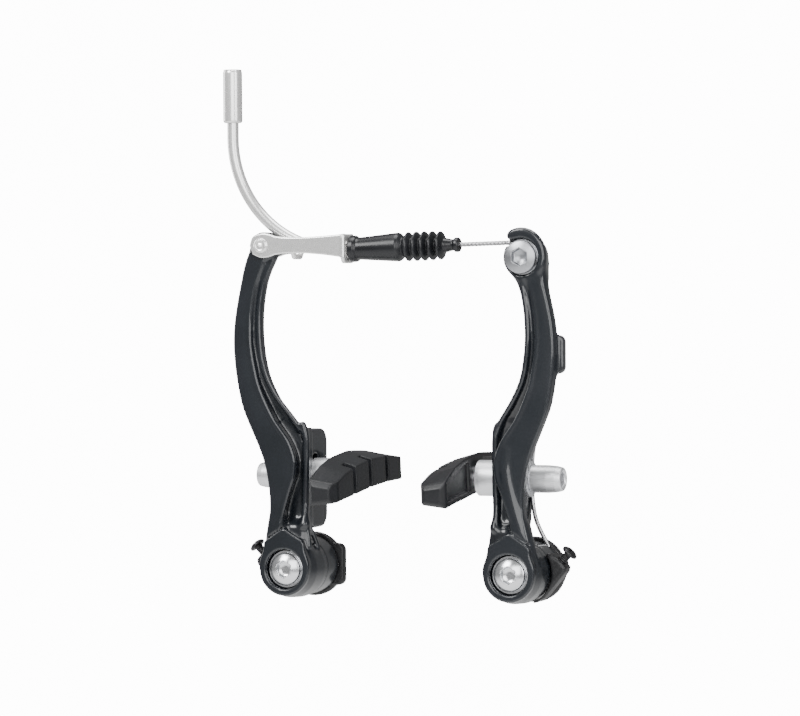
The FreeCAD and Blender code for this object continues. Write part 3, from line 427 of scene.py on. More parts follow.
def stand_for(piece, *nodes):
    """The piece takes the finish of CAD nodes, moves with them and is shown in their place."""
    finish_with(piece, SLOT_OF[nodes[0]])
    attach(piece, BODY_OF[nodes[0]])
    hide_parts(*nodes)
    return piece


for node, obj in frame["nodes"].items():
    finish_with(obj, SLOT_OF[node])


# --- brake arms -------------------------------------------------------------

# Lines on an arm seen from the front: outward from the pivot, up from it.
OUTER_LINE = ((10.0, 108), (12.2, 102.7), (14.1, 95.6), (15.8, 88), (16.8, 82), (17.2, 76), (17.0, 70),
              (16.2, 63), (14.6, 55), (12.3, 49), (8.8, 41), (6.9, 35.5), (5.8, 30), (5.3, 25),
              (5.3, 20), (6.0, 15), (7.0, 9))
RIDGE_LINE = ((3.4, 108), (5.6, 103), (8.6, 95.5), (10.2, 87), (10.7, 80), (10.5, 74.5), (9.5, 68),
              (7.6, 60.5), (3.2, 51), (-2.0, 43.5), (-4.2, 38), (-4.4, 34.5), (-3.9, 31), (-2.4, 27),
              (-0.9, 22.5), (0.6, 17.5), (1.6, 13), (1.9, 9))
INNER_LINE = ((0.6, 108), (1.2, 104.9), (3.5, 100.3), (5.1, 96), (6.3, 90), (6.9, 84), (6.9, 77), (6.1, 70),
              (4.4, 63.5), (1.0, 57), (-3.4, 50.8), (-5.4, 47), (-6.3, 43), (-6.6, 38), (-6.7, 30),
              (-6.6, 20), (-6.2, 9))
FACET_LINE = ((-8.9, -1.0), (-9.0, 2.2), (-8.0, 5.2), (-7.5, 7.0), (-7.1, 9.3), (-5.2, 10.6), (-2.2, 12.3),
              (0.0, 13.7), (2.2, 12.6), (5.0, 10.7), (7.2, 9.2), (7.5, 6.9), (8.1, 5.0), (9.0, 2.2),
              (8.9, -1.0), (7.9, -4.3), (5.6, -7.0), (2.9, -8.5), (0.0, -9.0), (-2.9, -8.5),
              (-5.6, -7.0), (-7.9, -4.3))
RIB_LINE = ((-1.2, 41), (-1.4, 34), (-0.2, 27), (1.8, 20), (4.2, 13), (5.6, 8))
BEAD_LINE = ((-5.2, 48.5), (-6.1, 44), (-6.2, 38), (-6.1, 28), (-5.8, 20), (-6.2, 15.5))
STALK_LINE = ((6.0, 88), (10.8, 88), (12.3, 97), (12.3, 102.5), (9.0, 107), (1.6, 100), (3.5, 96))
# The blades lean the same way, so one stands outward of upright and one inward.
LEAN = {"left": 0.0175, "right": -0.0175}
ARM_STEP = 0.36
# Sizes that the arm shares with the parts fitted to it, in millimetres; depths are
# from the front facet.
COIL_ROOM_RADIUS, COIL_ROOM_FRONT = 9.0, 17.0
BARREL_BORE_RADIUS = 5.58
RECESS_RADIUS, RECESS_DEPTH = 6.7, 3.55
POST_HEIGHT, POST_DEPTH = 31.0, 14.5
SLOT_RADIUS, SLOT_TRAVEL = 3.4, 4.0
LINK_BOSS = (7.3, 108.9)
LINK_BOSS_RADIUS = 4.55
RIVET_HOLE_RADIUS = 1.95
ANCHOR_BOSS = (4.8, 104.2)
ANCHOR_BOSS_RADIUS = 6.9
ANCHOR_THREAD_RADIUS = 3.05


def stem(u, z, d, line, radius, levels):
    """A round bead along a line; levels are pairs of height and depth."""
    heights, depths = zip(*levels)
    away = line_distance(u, z, smooth_line(line, 6))
    return np.hypot(away, d - np.interp(z, heights, depths).astype(np.float32)) - radius


def build_arm(side, sign):
    """Cast arm: pivot barrel, S-shaped front flange, webs, post plate, tab and top boss."""
    x_ends = sorted((sign * (PIVOT_X - 12.5), sign * (PIVOT_X + 20.5)))
    space = Space((x_ends[0], FACET_Y - 1, -12), (x_ends[1], FACET_Y + 26.5, 116), ARM_STEP)
    p, d, z = sign * space.x - PIVOT_X, space.y - FACET_Y, space.z
    q = p - LEAN[side] * z
    outer, ridge, inner = (smooth_line(line, 6) for line in (OUTER_LINE, RIDGE_LINE, INNER_LINE))

    # front flange between the outer edge and the S-shaped ridge
    back = np.interp(z, (44, 62), (8.1, 6.0)).astype(np.float32)
    flat = outline(q, z, np.vstack([outer, ridge[::-1]]))
    crown = 1.0 + 0.012 * np.clip(flat + 4, 0, 4) ** 2
    taper = 0.55 * np.maximum(d - 4.6, 0)
    flange = rounded(flat + taper, np.maximum(crown - d, d - back), 0.7)
    lip = stem(q - 0.55, z, d, RIDGE_LINE[1:], 0.8, ((10, 1.75), (60, 1.6), (100, 1.9)))
    flange = either(flange, lip, 0.5)

    # web behind and inside the ridge, sinking into a deep hollow beside the post
    floor = np.interp(z, (9, 13, 17, 24, 40, 48, 56, 66, 80, 96, 101),
                      (4.0, 5.5, 6.8, 7.2, 7.2, 6.4, 4.8, 3.2, 2.5, 2.3, 2.0)).astype(np.float32)
    whole = outline(q, z, np.vstack([outer, inner[::-1]]))
    web_back = np.interp(z, (46, 62), (8.5, 6.0)).astype(np.float32)
    web = rounded(whole + taper, np.maximum(floor - d, d - web_back), 0.8)
    rim = stem(q - 0.9, z, d, INNER_LINE[1:12], 0.95,
               ((47, 5.6), (58, 3.3), (70, 2.2), (90, 2.2), (104, 2.6)))
    body = either(flange, either(web, rim, 0.8), 1.3)

    # slotted plate for the post, its front bead, and a bulge in the hollow
    plate = rounded(np.abs(p + 3.0) - 3.0,
                    rounded(slab(d, 8.5, 24.8), slab(z, 13.2, 46.8), 5.0), 0.6)
    shoulder = rounded(slab(p, -5.8, 2.5), np.maximum(slab(d, 2.6, 8.1), slab(z, 13, 50)), 1.5)
    shoulder = np.maximum(shoulder, whole + 0.5 + taper)
    shoulder = np.maximum(shoulder, floor - d)
    plate = either(plate, shoulder, 1.5)
    bead = stem(p, z, d, BEAD_LINE, 1.15, ((15, 4.4), (22, 5.6), (40, 5.8), (49, 5.4)))
    wall = rounded(slab(p, -6.6, -5.2), np.maximum(slab(d, 5.5, 10.5), slab(z, 14.5, 47.5)), 0.6)
    bulge = stem(p, z, d, ((-2.0, 9), (-2.4, 18), (-2.7, 24), (-3.0, 30)), 2.3,
                 ((9, 7.6), (18, 8.4), (24, 8.9), (30, 10.4)))
    plate = either(plate, either(either(bead, wall, 1.0), bulge, 1.2), 1.0)
    body = either(body, plate, 1.6)
    if sign > 0:
        rib = stem(p, z, d, RIB_LINE, 2.0, ((8, 3.4), (14, 2.9), (34, 2.9), (41, 3.5)))
        body = either(body, rib, 1.6)

    # pivot barrel with its front facet
    away = np.hypot(p, z)
    swell = np.interp(d, (1.0, 1.5, 2.3, 5.5, 11.5, 14.0, 14.3, 14.9, 15.2, 24.2),
                      (8.4, 8.5, 9.1, 9.9, 10.3, 10.2, 9.8, 9.8, 10.0, 10.0)).astype(np.float32)
    barrel = rounded(away - swell, slab(d, 1.2, 24.2), 0.4)
    fork = stem(p, z, d, ((-6.2, 15.5), (-7.0, 12.0), (-7.6, 7.5)), 0.9, ((7, 4.4), (16, 4.8)))
    fork = either(fork, tube_line(p, d, z, ((-6.2, 5.0, 15.5), (-6.6, 9.5, 12.0), (-8.0, 11.5, 6.8)),
                                  (1.0, 0.9, 0.7)), 0.6)
    neck = rounded(outline(p, z, np.array(((-5.6, 14.5), (4.6, 15.5), (7.6, 5.5), (-7.6, 5.5)))),
                   slab(d, 3.4, 8.2), 1.5)
    body = either(body, neck, 4.5)
    body = either(body, barrel, 2.4)
    body = either(body, fork, 0.7)
    hollow = tube_line(p, d, z, ((-7.6, 8.0, 9.4), (-7.3, 7.6, 11.8)), (1.5, 0.9))
    body = carve(body, hollow, 0.5)
    facet = rounded(outline(p, z, smooth_line(FACET_LINE, 6, closed=True)), slab(d, 0.0, 2.4), 0.3)
    groove = np.maximum(np.abs(outline(p, z, smooth_line(FACET_LINE, 6, closed=True)) - 0.25) - 0.28,
                        slab(d, 0.9, 1.9))
    body = either(carve(body, groove, 0.2), facet, 0.25)

    # spring tab
    tab = rounded(rounded(slab(p, 12.5, 18.2), slab(z, 66.0, 78.7), 2.2), slab(d, 4.2, 7.4), 0.3)
    body = either(body, tab, 0.8)

    if sign < 0:
        top = LINK_BOSS
        boss = rounded(disc(p, z, top, LINK_BOSS_RADIUS), slab(d, 1.0, 7.0), 0.5)
        body = either(body, boss, 1.2)
        body = np.maximum(body, np.minimum(slab(d, 1.0, 7.0), z - 99.0))
        top_hole = disc(p, z, top, RIVET_HOLE_RADIUS)
    else:
        top = ANCHOR_BOSS
        boss = rounded(disc(p, z, top, ANCHOR_BOSS_RADIUS), slab(d, 2.4, 9.5), 0.7)
        front = np.interp(z, (88, 99), (5.2, 1.6)).astype(np.float32)
        stalk = rounded(outline(p, z, np.array(STALK_LINE)), np.maximum(front - d, d - 8.6), 1.2)
        body = both(body, z - 100.0, 1.0)
        body = either(body, either(stalk, boss, 1.5), 2.8)
        outside = np.hypot((p - 4.6) * 1.12, z - top[1]) - 9.75 + 0.38 * np.maximum(d - 2.5, 0)
        ring = both(outside, 5.95 - np.hypot(p - top[0], z - top[1]), 0.8)
        turn = np.arctan2(z - top[1], p - top[0])
        middle, half = math.radians(45), math.radians(83)
        end = (np.abs(turn - middle) - half) * 7.75
        hood = rounded(both(ring, end, 2.4), slab(d, 0.3, 8.6), 1.1)
        seat = np.maximum(disc(p, z, top, 6.0), d - 4.75)
        body = carve(body, seat, 0.5)
        body = either(body, hood, 1.3)
        cable_way = np.maximum(np.maximum(np.abs(z - 109.0) - 1.1, p - top[0]), slab(d, 2.95, 5.1))
        body = carve(body, cable_way, 0.3)
        top_hole = disc(p, z, top, ANCHOR_THREAD_RADIUS)

    # holes
    slot = np.hypot(d - POST_DEPTH, np.maximum(np.abs(z - POST_HEIGHT) - SLOT_TRAVEL, 0)) - SLOT_RADIUS
    body = carve(body, np.maximum(slot, slab(p, -9, 0.6)), 0.5)
    body = carve(body, top_hole, 0.25)
    body = carve(body, away - BARREL_BORE_RADIUS, 0.2)
    body = carve(body, np.maximum(away - RECESS_RADIUS, d - RECESS_DEPTH), 0.35)
    body = carve(body, np.maximum(away - COIL_ROOM_RADIUS, COIL_ROOM_FRONT - d), 0.3)
    stand_for(field_piece(side + "_arm_casting", space, soften(body)), side + "_brake_arm")


for side, sign in SIDES:
    build_arm(side, sign)


# --- pads -------------------------------------------------------------------

PAD_TILT = math.radians(6)
POST_PLACE = (-13.5, POST_HEIGHT)
PAD_FACE, PAD_BACK = 14.5, 24.1
PAD_ENDS = (-31.0, 31.0)
GROOVES = (-12.5, 1.5, 16.5)
GROOVE_HALF_WIDTH, GROOVE_DEPTH = 1.5, 4.2
PANEL_DEPTH = 0.9


def build_pad(side, sign):
    """Moulded pad: sloping top, bevelled near end, three grooves and sunk back panels."""
    x_ends = sorted((sign * 13.5, sign * 25.5))
    space = Space((x_ends[0], -48, 18), (x_ends[1], 21, 46), 0.25)
    w = sign * space.x
    y, z = space.y - POST_PLACE[0], space.z - POST_PLACE[1]
    s = y * math.cos(PAD_TILT) + z * math.sin(PAD_TILT)
    h = z * math.cos(PAD_TILT) - y * math.sin(PAD_TILT) + s ** 2 / 600

    def level(stations, face, back):
        share = np.clip((w - PAD_FACE) / (PAD_BACK - PAD_FACE), 0, 1)
        at_face = np.interp(s, stations, face).astype(np.float32)
        at_back = np.interp(s, stations, back).astype(np.float32)
        return at_face + (at_back - at_face) * share

    top = level((-31, -20, -10, 4, 20, 31), (3.2, 4.8, 5.3, 5.4, 4.6, 3.4), (4.6, 7.4, 8.3, 8.2, 6.4, 4.4))
    low = level((-31, -12, 12, 31), (-2.8, -4.0, -4.2, -4.2), (-4.0, -5.0, -5.2, -6.2))
    flat = both(h - top, low - h, 0.4)
    body = both(flat, both(slab(w, PAD_FACE, PAD_BACK), slab(s, *PAD_ENDS), 0.7), 0.5)
    for edge in (h - top, low - h):
        body = both(body, (edge + 1.4 - (s - PAD_ENDS[0])) / math.sqrt(2), 0.3)
    bevel = ((PAD_FACE + 2.2 - w) * 3.6 - (s - PAD_ENDS[0]) * 2.2) / math.hypot(3.6, 2.2)
    body = both(body, bevel, 0.4)
    far_bevel = (PAD_FACE + 1.4 - w + (s - PAD_ENDS[1])) / math.sqrt(2)
    body = both(body, far_bevel, 0.4)
    heel = (w - PAD_BACK + 1.4 - (s - PAD_ENDS[0])) / math.sqrt(2)
    body = both(body, heel, 0.4)
    for place in GROOVES:
        groove = np.maximum(np.abs(s - place) - GROOVE_HALF_WIDTH, w - PAD_FACE - GROOVE_DEPTH)
        body = carve(body, groove, 0.2)
    for low_end, high_end in ((-27.5, -7.0), (7.0, 27.5)):
        panel = np.maximum(slab(s, low_end, high_end), np.maximum(h - top + 1.9, low + 1.9 - h))
        sunk = np.maximum(panel + 0.3 * (PAD_BACK - w), PAD_BACK - PANEL_DEPTH - w)
        body = carve(body, sunk, 0.35)
    stand_for(field_piece(side + "_pad_rubber", space, body), side + "_brake_pad")


# --- pivot fittings ---------------------------------------------------------

SOCKET_ACROSS = 5.0
SOCKET_DEPTH = 2.5
THREAD_RADIUS, THREAD_HEIGHT = 2.72, 0.26
PIN_PLACE, PIN_HOLE_RADIUS = 8.4, 1.32
HOLDER_BORE_RADIUS = 5.62
SCREW_SEAT = (15.9, 15.2, 6.35)
SCREW_WAY = (0.68, 0.0, 0.73)
BRIDGE_LINE = ((6.0, 7.5), (11.5, 4.5), (12.5, 0.0), (8.0, -7.0), (4.0, -9.5), (2.0, -6))
LUG_LINE = ((5.5, 6.5), (10.8, 6.3), (15.7, 2.0), (15.3, 0.3), (8.0, -8.4), (4.2, -10.4), (2.0, -8.0))


def build_holder(side, sign):
    """Moulded spring holder: back plate, stop lug inside, screw lug outside."""
    x_ends = sorted((sign * (PIVOT_X - 13), sign * (PIVOT_X + 18)))
    space = Space((x_ends[0], FACET_Y + 11.5, -13), (x_ends[1], 0.6, 13), 0.3)
    p, d, z = sign * space.x - PIVOT_X, space.y - FACET_Y, space.z
    away = np.hypot(p, z)
    plate = rounded(away - 11.0, slab(d, 25.0, 28.0), 0.6)
    inner = rounded(rounded(slab(p, -11.6, 0), slab(z, -7.2, 7.2), 2.4), slab(d, 24.6, 28.0), 0.6)
    body = either(plate, inner, 0.4)
    lug = rounded(outline(p, z, np.array(LUG_LINE)), slab(d, 12.5, 19.0), 1.0)
    bridge = rounded(outline(p, z, np.array(BRIDGE_LINE)), slab(d, 13.0, 27.6), 0.8)
    body = either(body, either(lug, bridge, 1.0), 0.8)
    seat = [sign * (PIVOT_X + SCREW_SEAT[0]), FACET_Y + SCREW_SEAT[1], SCREW_SEAT[2]]
    along, u, v = frame_of(space, seat, (sign * SCREW_WAY[0], 0, SCREW_WAY[2]))
    sleeve = rounded(np.hypot(u, v) - 2.7, slab(along, -8.0, -3.2), 0.5)
    body = either(body, sleeve, 0.6)
    body = carve(body, np.maximum(away - 10.6, d - 24.4), 0.3)
    body = carve(body, np.maximum(np.hypot(u, v) - 1.62, slab(along, -9, 2)), 0.1)
    body = carve(body, away - HOLDER_BORE_RADIUS, 0.2)
    body = carve(body, np.hypot(p + PIN_PLACE, z) - PIN_HOLE_RADIUS, 0.1)
    stand_for(field_piece(side + "_holder_moulding", space, soften(body)), side + "_spring_holder")


def build_tension_screw(side, sign):
    """Cross-head screw with a visible thread."""
    seat = np.array((sign * (PIVOT_X + SCREW_SEAT[0]), FACET_Y + SCREW_SEAT[1], SCREW_SEAT[2]))
    space = Space(seat - 6.5, seat + 5.0, 0.13)
    along, u, v = frame_of(space, seat, (sign * SCREW_WAY[0], 0, SCREW_WAY[2]))
    away = np.hypot(u, v)
    turn = np.arctan2(v, u) / (2 * math.pi)
    wave = np.abs(((along / 0.7 + turn) % 1.0) - 0.5) * 2
    shank = np.maximum(away - 1.2 - 0.3 * wave, slab(along, -5.2, 0.2)) * 0.8
    dome = np.sqrt(away ** 2 + (along + 2.5) ** 2) - 4.4
    head = both(rounded(away - 2.8, slab(along, 0.0, 2.2), 0.5), dome, 0.3)
    cross = np.maximum(np.minimum(np.abs(u), np.abs(v)) - 0.42, np.maximum(away - 1.75, 0.75 - along))
    head = carve(head, cross, 0.15)
    stand_for(field_piece(side + "_cross_screw", space, either(head, shank, 0.3)), side + "_tension_screw")


def socket_bolt(name, node, centre, head, shank_end, dome):
    """Bolt along Y: domed head with a hex socket; head is (radius, front, back)."""
    radius, front, back = head
    space = Space((centre[0] - radius - 0.6, front - 0.6, centre[1] - radius - 0.6),
                  (centre[0] + radius + 0.6, shank_end + 0.6, centre[1] + radius + 0.6), 0.17)
    x, y, z = space.x - centre[0], space.y, space.z - centre[1]
    away = np.hypot(x, z)
    ball = np.sqrt(away ** 2 + (y - front - dome) ** 2) - dome
    body = both(rounded(away - radius, slab(y, front - 2, back), 0.25), ball, 0.3)
    well = np.maximum(hexagon(x, z, SOCKET_ACROSS), y - front - SOCKET_DEPTH)
    cone = np.maximum((away + (y - front - SOCKET_DEPTH) * 2.0 - 2.4) * 0.45, front + 2.4 - y)
    mouth = (away + (y - front) * 1.0 - 2.7) * 0.7
    body = carve(body, np.minimum(np.minimum(well, cone), mouth), 0.12)
    thread = np.abs(((y + np.arctan2(z, x) / (2 * math.pi)) % 1.0) - 0.5) * 2
    shank = np.maximum(away - THREAD_RADIUS - THREAD_HEIGHT * thread, slab(y, back - 0.2, shank_end)) * 0.8
    stand_for(field_piece(name, space, either(body, shank, 0.3)), node)


def build_nut(side, sign):
    """Sleeve nut: tapered outer end with a hex socket."""
    low_x, high_x = 43.45, 54.65
    x_ends = sorted((sign * (low_x - 0.6), sign * (high_x + 0.6)))
    y0, z0 = POST_PLACE
    space = Space((x_ends[0], y0 - 5.3, z0 - 5.3), (x_ends[1], y0 + 5.3, z0 + 5.3), 0.17)
    w = sign * space.x
    away = np.hypot(space.y - y0, space.z - z0)
    radius = np.interp(w, (43.4, 43.9, 49.5, 52.6, 54.3, 54.7), (4.3, 4.62, 4.62, 4.35, 3.95, 3.7))
    body = both((away - radius.astype(np.float32)) * 0.95, slab(w, low_x, high_x), 0.5)
    body = carve(body, np.maximum(away - 3.05, w - 50.6), 0.1)
    body = carve(body, hexagon(space.y - y0, space.z - z0, SOCKET_ACROSS), 0.1)
    body = carve(body, (away - (w - high_x) - 3.25) * 0.7, 0.15)
    stand_for(field_piece(side + "_nut_sleeve", space, body), side + "_sleeve_nut")


COIL_TURNS = 2.5
COIL_RADIUS, COIL_PITCH, COIL_BACK = 7.6, 1.75, 25.3
WIRE_RADIUS = 0.75
LEG_LINE = ((1.2, 23.2, 19.5), (1.2, 22.3, 39.0), (9.6, 11.5, 56.5), (13.4, 9.2, 65.0), (15.9, 8.2, 71.0),
            (16.2, 8.1, 76.0))


def build_spring(side, sign):
    """Coil round the bush and a long leg behind the arm."""
    turns = np.linspace(0, 1, 240)
    end_turn = math.radians(20)
    angle = end_turn - 2 * math.pi * COIL_TURNS * (1 - turns)
    depth = COIL_BACK - COIL_PITCH * COIL_TURNS * (1 - turns)
    coil = np.stack([COIL_RADIUS * np.cos(angle), depth, COIL_RADIUS * np.sin(angle)], axis=1)
    way = (coil[-1] - coil[-2]) / np.linalg.norm(coil[-1] - coil[-2])
    leg = smooth_line(np.vstack([coil[-1], coil[-1] + way * 5.0, np.array(LEG_LINE)]), 14)
    path = np.vstack([coil[:-1], leg])
    path = np.stack([sign * (PIVOT_X + path[:, 0]), FACET_Y + path[:, 1], path[:, 2]], axis=1)
    stand_for(swept(side + "_spring_wire", path, WIRE_RADIUS, around=16), side + "_return_spring")


for side, sign in SIDES:
    build_pad(side, sign)
    build_holder(side, sign)
    build_tension_screw(side, sign)
    socket_bolt(side + "_boss_screw", side + "_mounting_bolt", (sign * PIVOT_X, 0.0), (5.5, -28.7, -25.6),
                -7.6, 9.0)
    build_nut(side, sign)
    build_spring(side, sign)


# --- link, tube, boot and cable ---------------------------------------------

SLOPE = math.radians(1.5)
CABLE_WAY = (math.cos(SLOPE), 0.0, math.sin(SLOPE))
CABLE_Y = FACET_Y + 4.0
CLAMP_X, CLAMP_Z = 44.8, 109.1
LINK_PIVOT = (-47.3, LINK_BOSS[1])
BRACKET_X = -18.0
TUBE_RADIUS, BEND_RADIUS, TUBE_LEG_X, TUBE_TOP = 1.95, 38.0, -59.2, 155.9
FERRULE_BOTTOM = 150.5
BOOT_START_X = -16.3
CABLE_RADIUS = 0.78


def on_cable(x):
    """Point on the straight cable line, by its X."""
    return np.array((x, CABLE_Y, CLAMP_Z + (x - CLAMP_X) * math.tan(SLOPE)))


LINK_TOP = ((-4.2, 0.0), (-3.0, 3.0), (0.0, 4.15), (2.8, 3.9), (6.0, 3.0), (12.5, 2.65), (21.5, 2.95),
            (30.0, 3.6))
LINK_LOW = ((30.0, -4.3), (21.5, -3.2), (12.5, -2.65), (6.0, -3.0), (2.8, -3.9), (0.0, -4.15), (-3.0, -3.0))


def build_link():
    """Stamped link: two pillowed side plates, the bracket round the tube, and a loop."""
    px, pz = LINK_PIVOT
    space = Space((px - 5.2, FACET_Y - 1.4, pz - 7.2), (px + 31.6, FACET_Y + 9.6, pz + 5.2), 0.2)
    x, d, z = space.x - px, space.y - FACET_Y, space.z - pz
    ring = np.vstack([smooth_line(LINK_TOP, 6), smooth_line(LINK_LOW, 6)])
    flat = outline(x, z, ring)
    body = either(rounded(flat, slab(d, -0.6, 0.7), 0.45), rounded(flat, slab(d, 7.3, 8.6), 0.45), 0.1)
    bracket = rounded(rounded(slab(d, -0.6, 8.6), slab(z, -6.2, 3.6), 1.8), slab(x, 29.0, 30.3), 0.35)
    body = either(body, bracket, 0.7)
    loop = tube_line(x, d, z, ((11.4, 0.4, -2.4), (11.4, 1.6, -3.8), (11.4, 6.4, -3.8), (11.4, 7.6, -2.4)),
                     (0.85, 0.95, 0.95, 0.85))
    body = either(body, loop, 0.3)
    body = carve(body, np.hypot(x, z) - 1.95, 0.15)
    along, u, v = frame_of(space, on_cable(BRACKET_X), CABLE_WAY)
    body = carve(body, np.maximum(np.hypot(u, v) - 2.1, slab(along, -6, 6)), 0.1)
    stand_for(field_piece("link_stamping", space, body), "cable_link")


def build_rivet():
    """Rivet with a shallow dished head on each side of the link."""
    profile = soft_corners(((0.0, 0.0), (0.25, 1.3), (0.0, 1.9), (0.5, 2.5), (0.85, 2.5), (0.85, 1.88),
                            (9.95, 1.88), (9.95, 2.5), (10.4, 2.4), (10.8, 1.8), (10.8, 0.0)), 0.25)
    start = (LINK_PIVOT[0], FACET_Y - 1.4, LINK_PIVOT[1])
    stand_for(turned("rivet_pin", start, (0, 1, 0), profile), "link_rivet")


def build_tube():
    """Bent guide tube with its stop collar, and the ferrule on its upper end."""
    centre = np.array((TUBE_LEG_X + BEND_RADIUS, CABLE_Y, 0.0))
    start = on_cable(centre[0] + BEND_RADIUS * math.sin(SLOPE))
    centre[2] = start[2] + BEND_RADIUS * math.cos(SLOPE)
    nose = [on_cable(x) for x in np.linspace(-1.2, start[0] + 0.4, 24)]
    turns = np.linspace(SLOPE, -math.pi / 2, 90)
    bend = [centre + BEND_RADIUS * np.array((math.sin(t), 0.0, -math.cos(t))) for t in turns]
    leg = [np.array((TUBE_LEG_X, CABLE_Y, z)) for z in np.linspace(bend[-1][2] + 0.4, TUBE_TOP, 12)]
    tube = swept("guide_bend", nose + bend + leg, TUBE_RADIUS, around=48)
    collar = turned("guide_collar", on_cable(-16.9), CABLE_WAY,
                    soft_corners(((0, 1.9), (0, 2.9), (1.2, 2.9), (1.2, 1.9)), 0.3), closed=True)
    stand_for(tube, "guide_tube")
    stand_for(collar, "guide_tube")
    bottom = (TUBE_LEG_X, CABLE_Y, FERRULE_BOTTOM)
    profile = soft_corners(((0.0, 1.97), (0.0, 2.9), (0.5, 3.25), (16.9, 3.25), (17.5, 3.05), (18.0, 3.05),
                            (18.0, 2.6), (6.0, 2.6), (6.0, 1.97)), 0.3)
    stand_for(turned("ferrule_shell", bottom, (0, 0, 1), profile, closed=True), "housing_ferrule")


BOOT_OUTSIDE = ((0.0, 4.0), (0.3, 4.45), (1.9, 4.45), (2.4, 4.2), (2.8, 3.75), (4.0, 3.8), (16.0, 4.75),
                (17.2, 4.85), (18.0, 4.5), (19.0, 3.35))
BOOT_INSIDE = ((38.8, 1.0), (35.5, 1.05), (35.0, 1.6), (19.0, 2.1), (1.4, 2.1), (1.4, 3.1), (0.0, 3.1))


def build_boot():
    """Bellows boot: lip, tapered sleeve, five rounded rings and a small nose."""
    outline_points = list(BOOT_OUTSIDE)
    for ring in range(5):
        middle = 20.75 + 2.83 * ring
        crest = (4.9, 4.95, 4.95, 4.9, 4.75)[ring]
        outline_points += [(middle - 0.75, crest - 0.75), (middle - 0.3, crest - 0.1), (middle + 0.1, crest),
                           (middle + 0.5, crest - 0.35), (middle + 1.4, 3.1 - 0.15 * ring)]
    outline_points += [(34.6, 2.3), (36.2, 1.9), (36.8, 1.9), (37.2, 2.45), (38.4, 2.45), (38.8, 2.1)]
    profile = soft_corners(outline_points + list(BOOT_INSIDE), 0.35)
    bellows = turned("bellows", on_cable(BOOT_START_X), CABLE_WAY, profile, around=72, closed=True)
    stand_for(bellows, "cable_boot")


def build_cable():
    """The twisted inner cable, free and clamped."""
    for name, node, start, end in (("free_cable", "cable_span", -3.0, 38.4),
                                   ("clamped_cable", "cable_tail", 38.6, 46.4)):
        points = [on_cable(x) for x in np.arange(start, end + 0.01, 0.2)]
        stand_for(swept(name, points, CABLE_RADIUS, around=30, strands=6, lay=8.0), node)


build_link()
build_rivet()
build_tube()
build_boot()
build_cable()
socket_bolt("anchor_screw", "anchor_bolt", (CLAMP_X, ANCHOR_BOSS[1]), (5.4, -29.45, -26.05), -15.05, 14.0)
# The anchor bolt has a duller finish than the mounting bolts.
dull_zinc = plated("dull_zinc", (0.42, 0.43, 0.45), 0.36, 900, (1, 1, 1))
bpy.data.objects["anchor_screw"].data.materials[0] = dull_zinc


# --- stage ------------------------------------------------------------------

def look_from(name, azimuth, elevation, roll, distance, aim, lens):
    """A camera that looks at a point (metres) from a direction (degrees)."""
    data = bpy.data.cameras.new(name)
    data.lens = lens
    data.clip_start = 0.01
    camera = bpy.data.objects.new(name, data)
    bpy.context.scene.collection.objects.link(camera)
    turn, rise = math.radians(azimuth), math.radians(elevation)
    back = Vector((math.sin(turn) * math.cos(rise), -math.cos(turn) * math.cos(rise), math.sin(rise)))
    facing = back.to_track_quat("Z", "Y").to_matrix().to_4x4()
    camera.matrix_world = (Matrix.Translation(Vector(aim) + back * distance) @ facing
                           @ Matrix.Rotation(math.radians(roll), 4, "Z"))
    bpy.context.scene.camera = camera
    return camera


CAMERA_TURN = 21.5
look_from("camera", CAMERA_TURN, 1.24, -0.37, 1.1, (0.001, -0.024, 0.0711), 149.0)


def soft_light(name, place, aim, size, power):
    data = bpy.data.lights.new(name, "AREA")
    data.shape = "RECTANGLE"
    data.size, data.size_y = size
    data.energy = power
    lamp = bpy.data.objects.new(name, data)
    bpy.context.scene.collection.objects.link(lamp)
    lamp.location = place
    lamp.rotation_euler = (Vector(place) - Vector(aim)).to_track_quat("Z", "Y").to_euler()
    return lamp


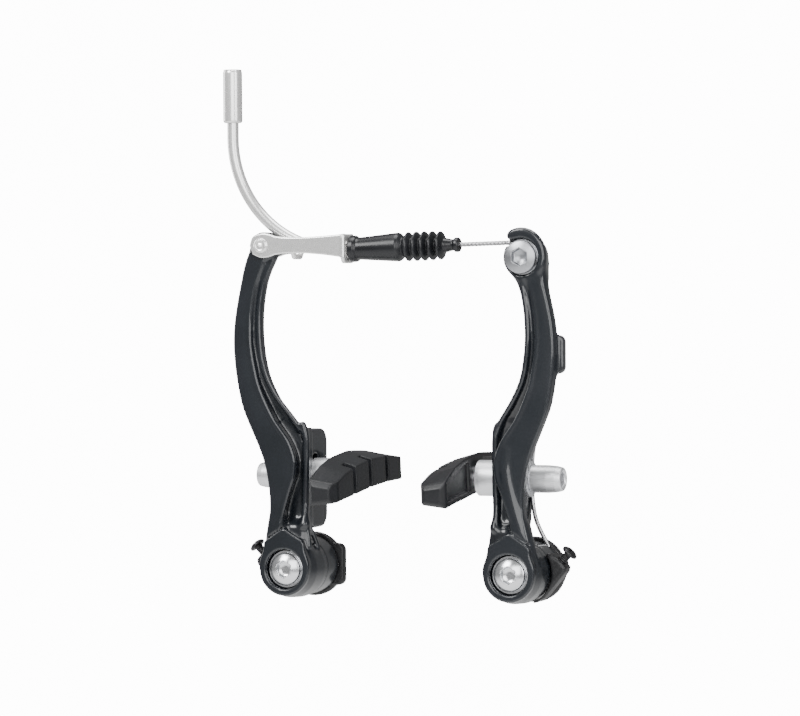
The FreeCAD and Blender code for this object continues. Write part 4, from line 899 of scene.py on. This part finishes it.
AIM = (0.0, 0.0, 0.06)
soft_light("key_light", (-0.45, -0.8, 0.75), AIM, (0.5, 0.5), 11)
soft_light("front_light", (0.35, -1.0, 0.35), AIM, (0.7, 0.7), 7)
soft_light("right_light", (0.75, -0.45, 0.35), AIM, (0.3, 0.7), 4)
soft_light("top_light", (0.0, 0.0, 0.9), AIM, (0.8, 0.5), 8)
soft_light("left_light", (-0.8, 0.1, 0.3), AIM, (0.3, 0.7), 3)


def glowing(name, strength):
    """White that lights itself, very slightly uneven."""
    material, tree, shader = new_material(name, (0.0, 0.0, 0.0), 1.0, specular=0.0)
    shader.inputs["Emission Color"].default_value = (1, 1, 1, 1)
    tint = noise_of(tree, 4, 2.0)
    tree.links.new(ramp_of(tree, tint, strength * 0.97, strength), shader.inputs["Emission Strength"])
    return material


def staged_card(name, corners, material):
    mesh = bpy.data.meshes.new(name)
    mesh.from_pydata(corners, [], [(0, 1, 2, 3)])
    mesh.materials.append(material)
    card = bpy.data.objects.new(name, mesh)
    bpy.context.scene.collection.objects.link(card)
    return card


def studio():
    """Pale floor and a bright wall behind the brake, square to the camera."""
    floor_white, tree, shader = new_material("floor_white", (0.9, 0.9, 0.9), 0.8)
    tint = noise_of(tree, 6, 2.0)
    tree.links.new(colors_of(tree, tint, (0.86, 0.86, 0.86), (0.9, 0.9, 0.9)), shader.inputs["Base Color"])
    low, reach = -0.28, 3
    corners = [(-reach, -reach, low), (reach, -reach, low), (reach, reach, low), (-reach, reach, low)]
    staged_card("floor", corners, floor_white)
    turn = math.radians(CAMERA_TURN)
    away = Vector((-math.sin(turn), math.cos(turn), 0))
    across = Vector((math.cos(turn), math.sin(turn), 0))
    middle, half_width, high = away * 1.5, 0.5, 0.6
    left, right = middle - across * half_width, middle + across * half_width
    corners = [(left.x, left.y, low), (right.x, right.y, low),
               (right.x, right.y, high), (left.x, left.y, high)]
    wall = staged_card("far_wall", corners, glowing("wall_white", 14.0))
    wall.visible_glossy = False
    wall.visible_diffuse = False


studio()
world = bpy.data.worlds.new("studio")
world.use_nodes = True
world.node_tree.nodes["Background"].inputs["Color"].default_value = (1, 1, 1, 1)
world.node_tree.nodes["Background"].inputs["Strength"].default_value = 0.3
bpy.context.scene.world = world
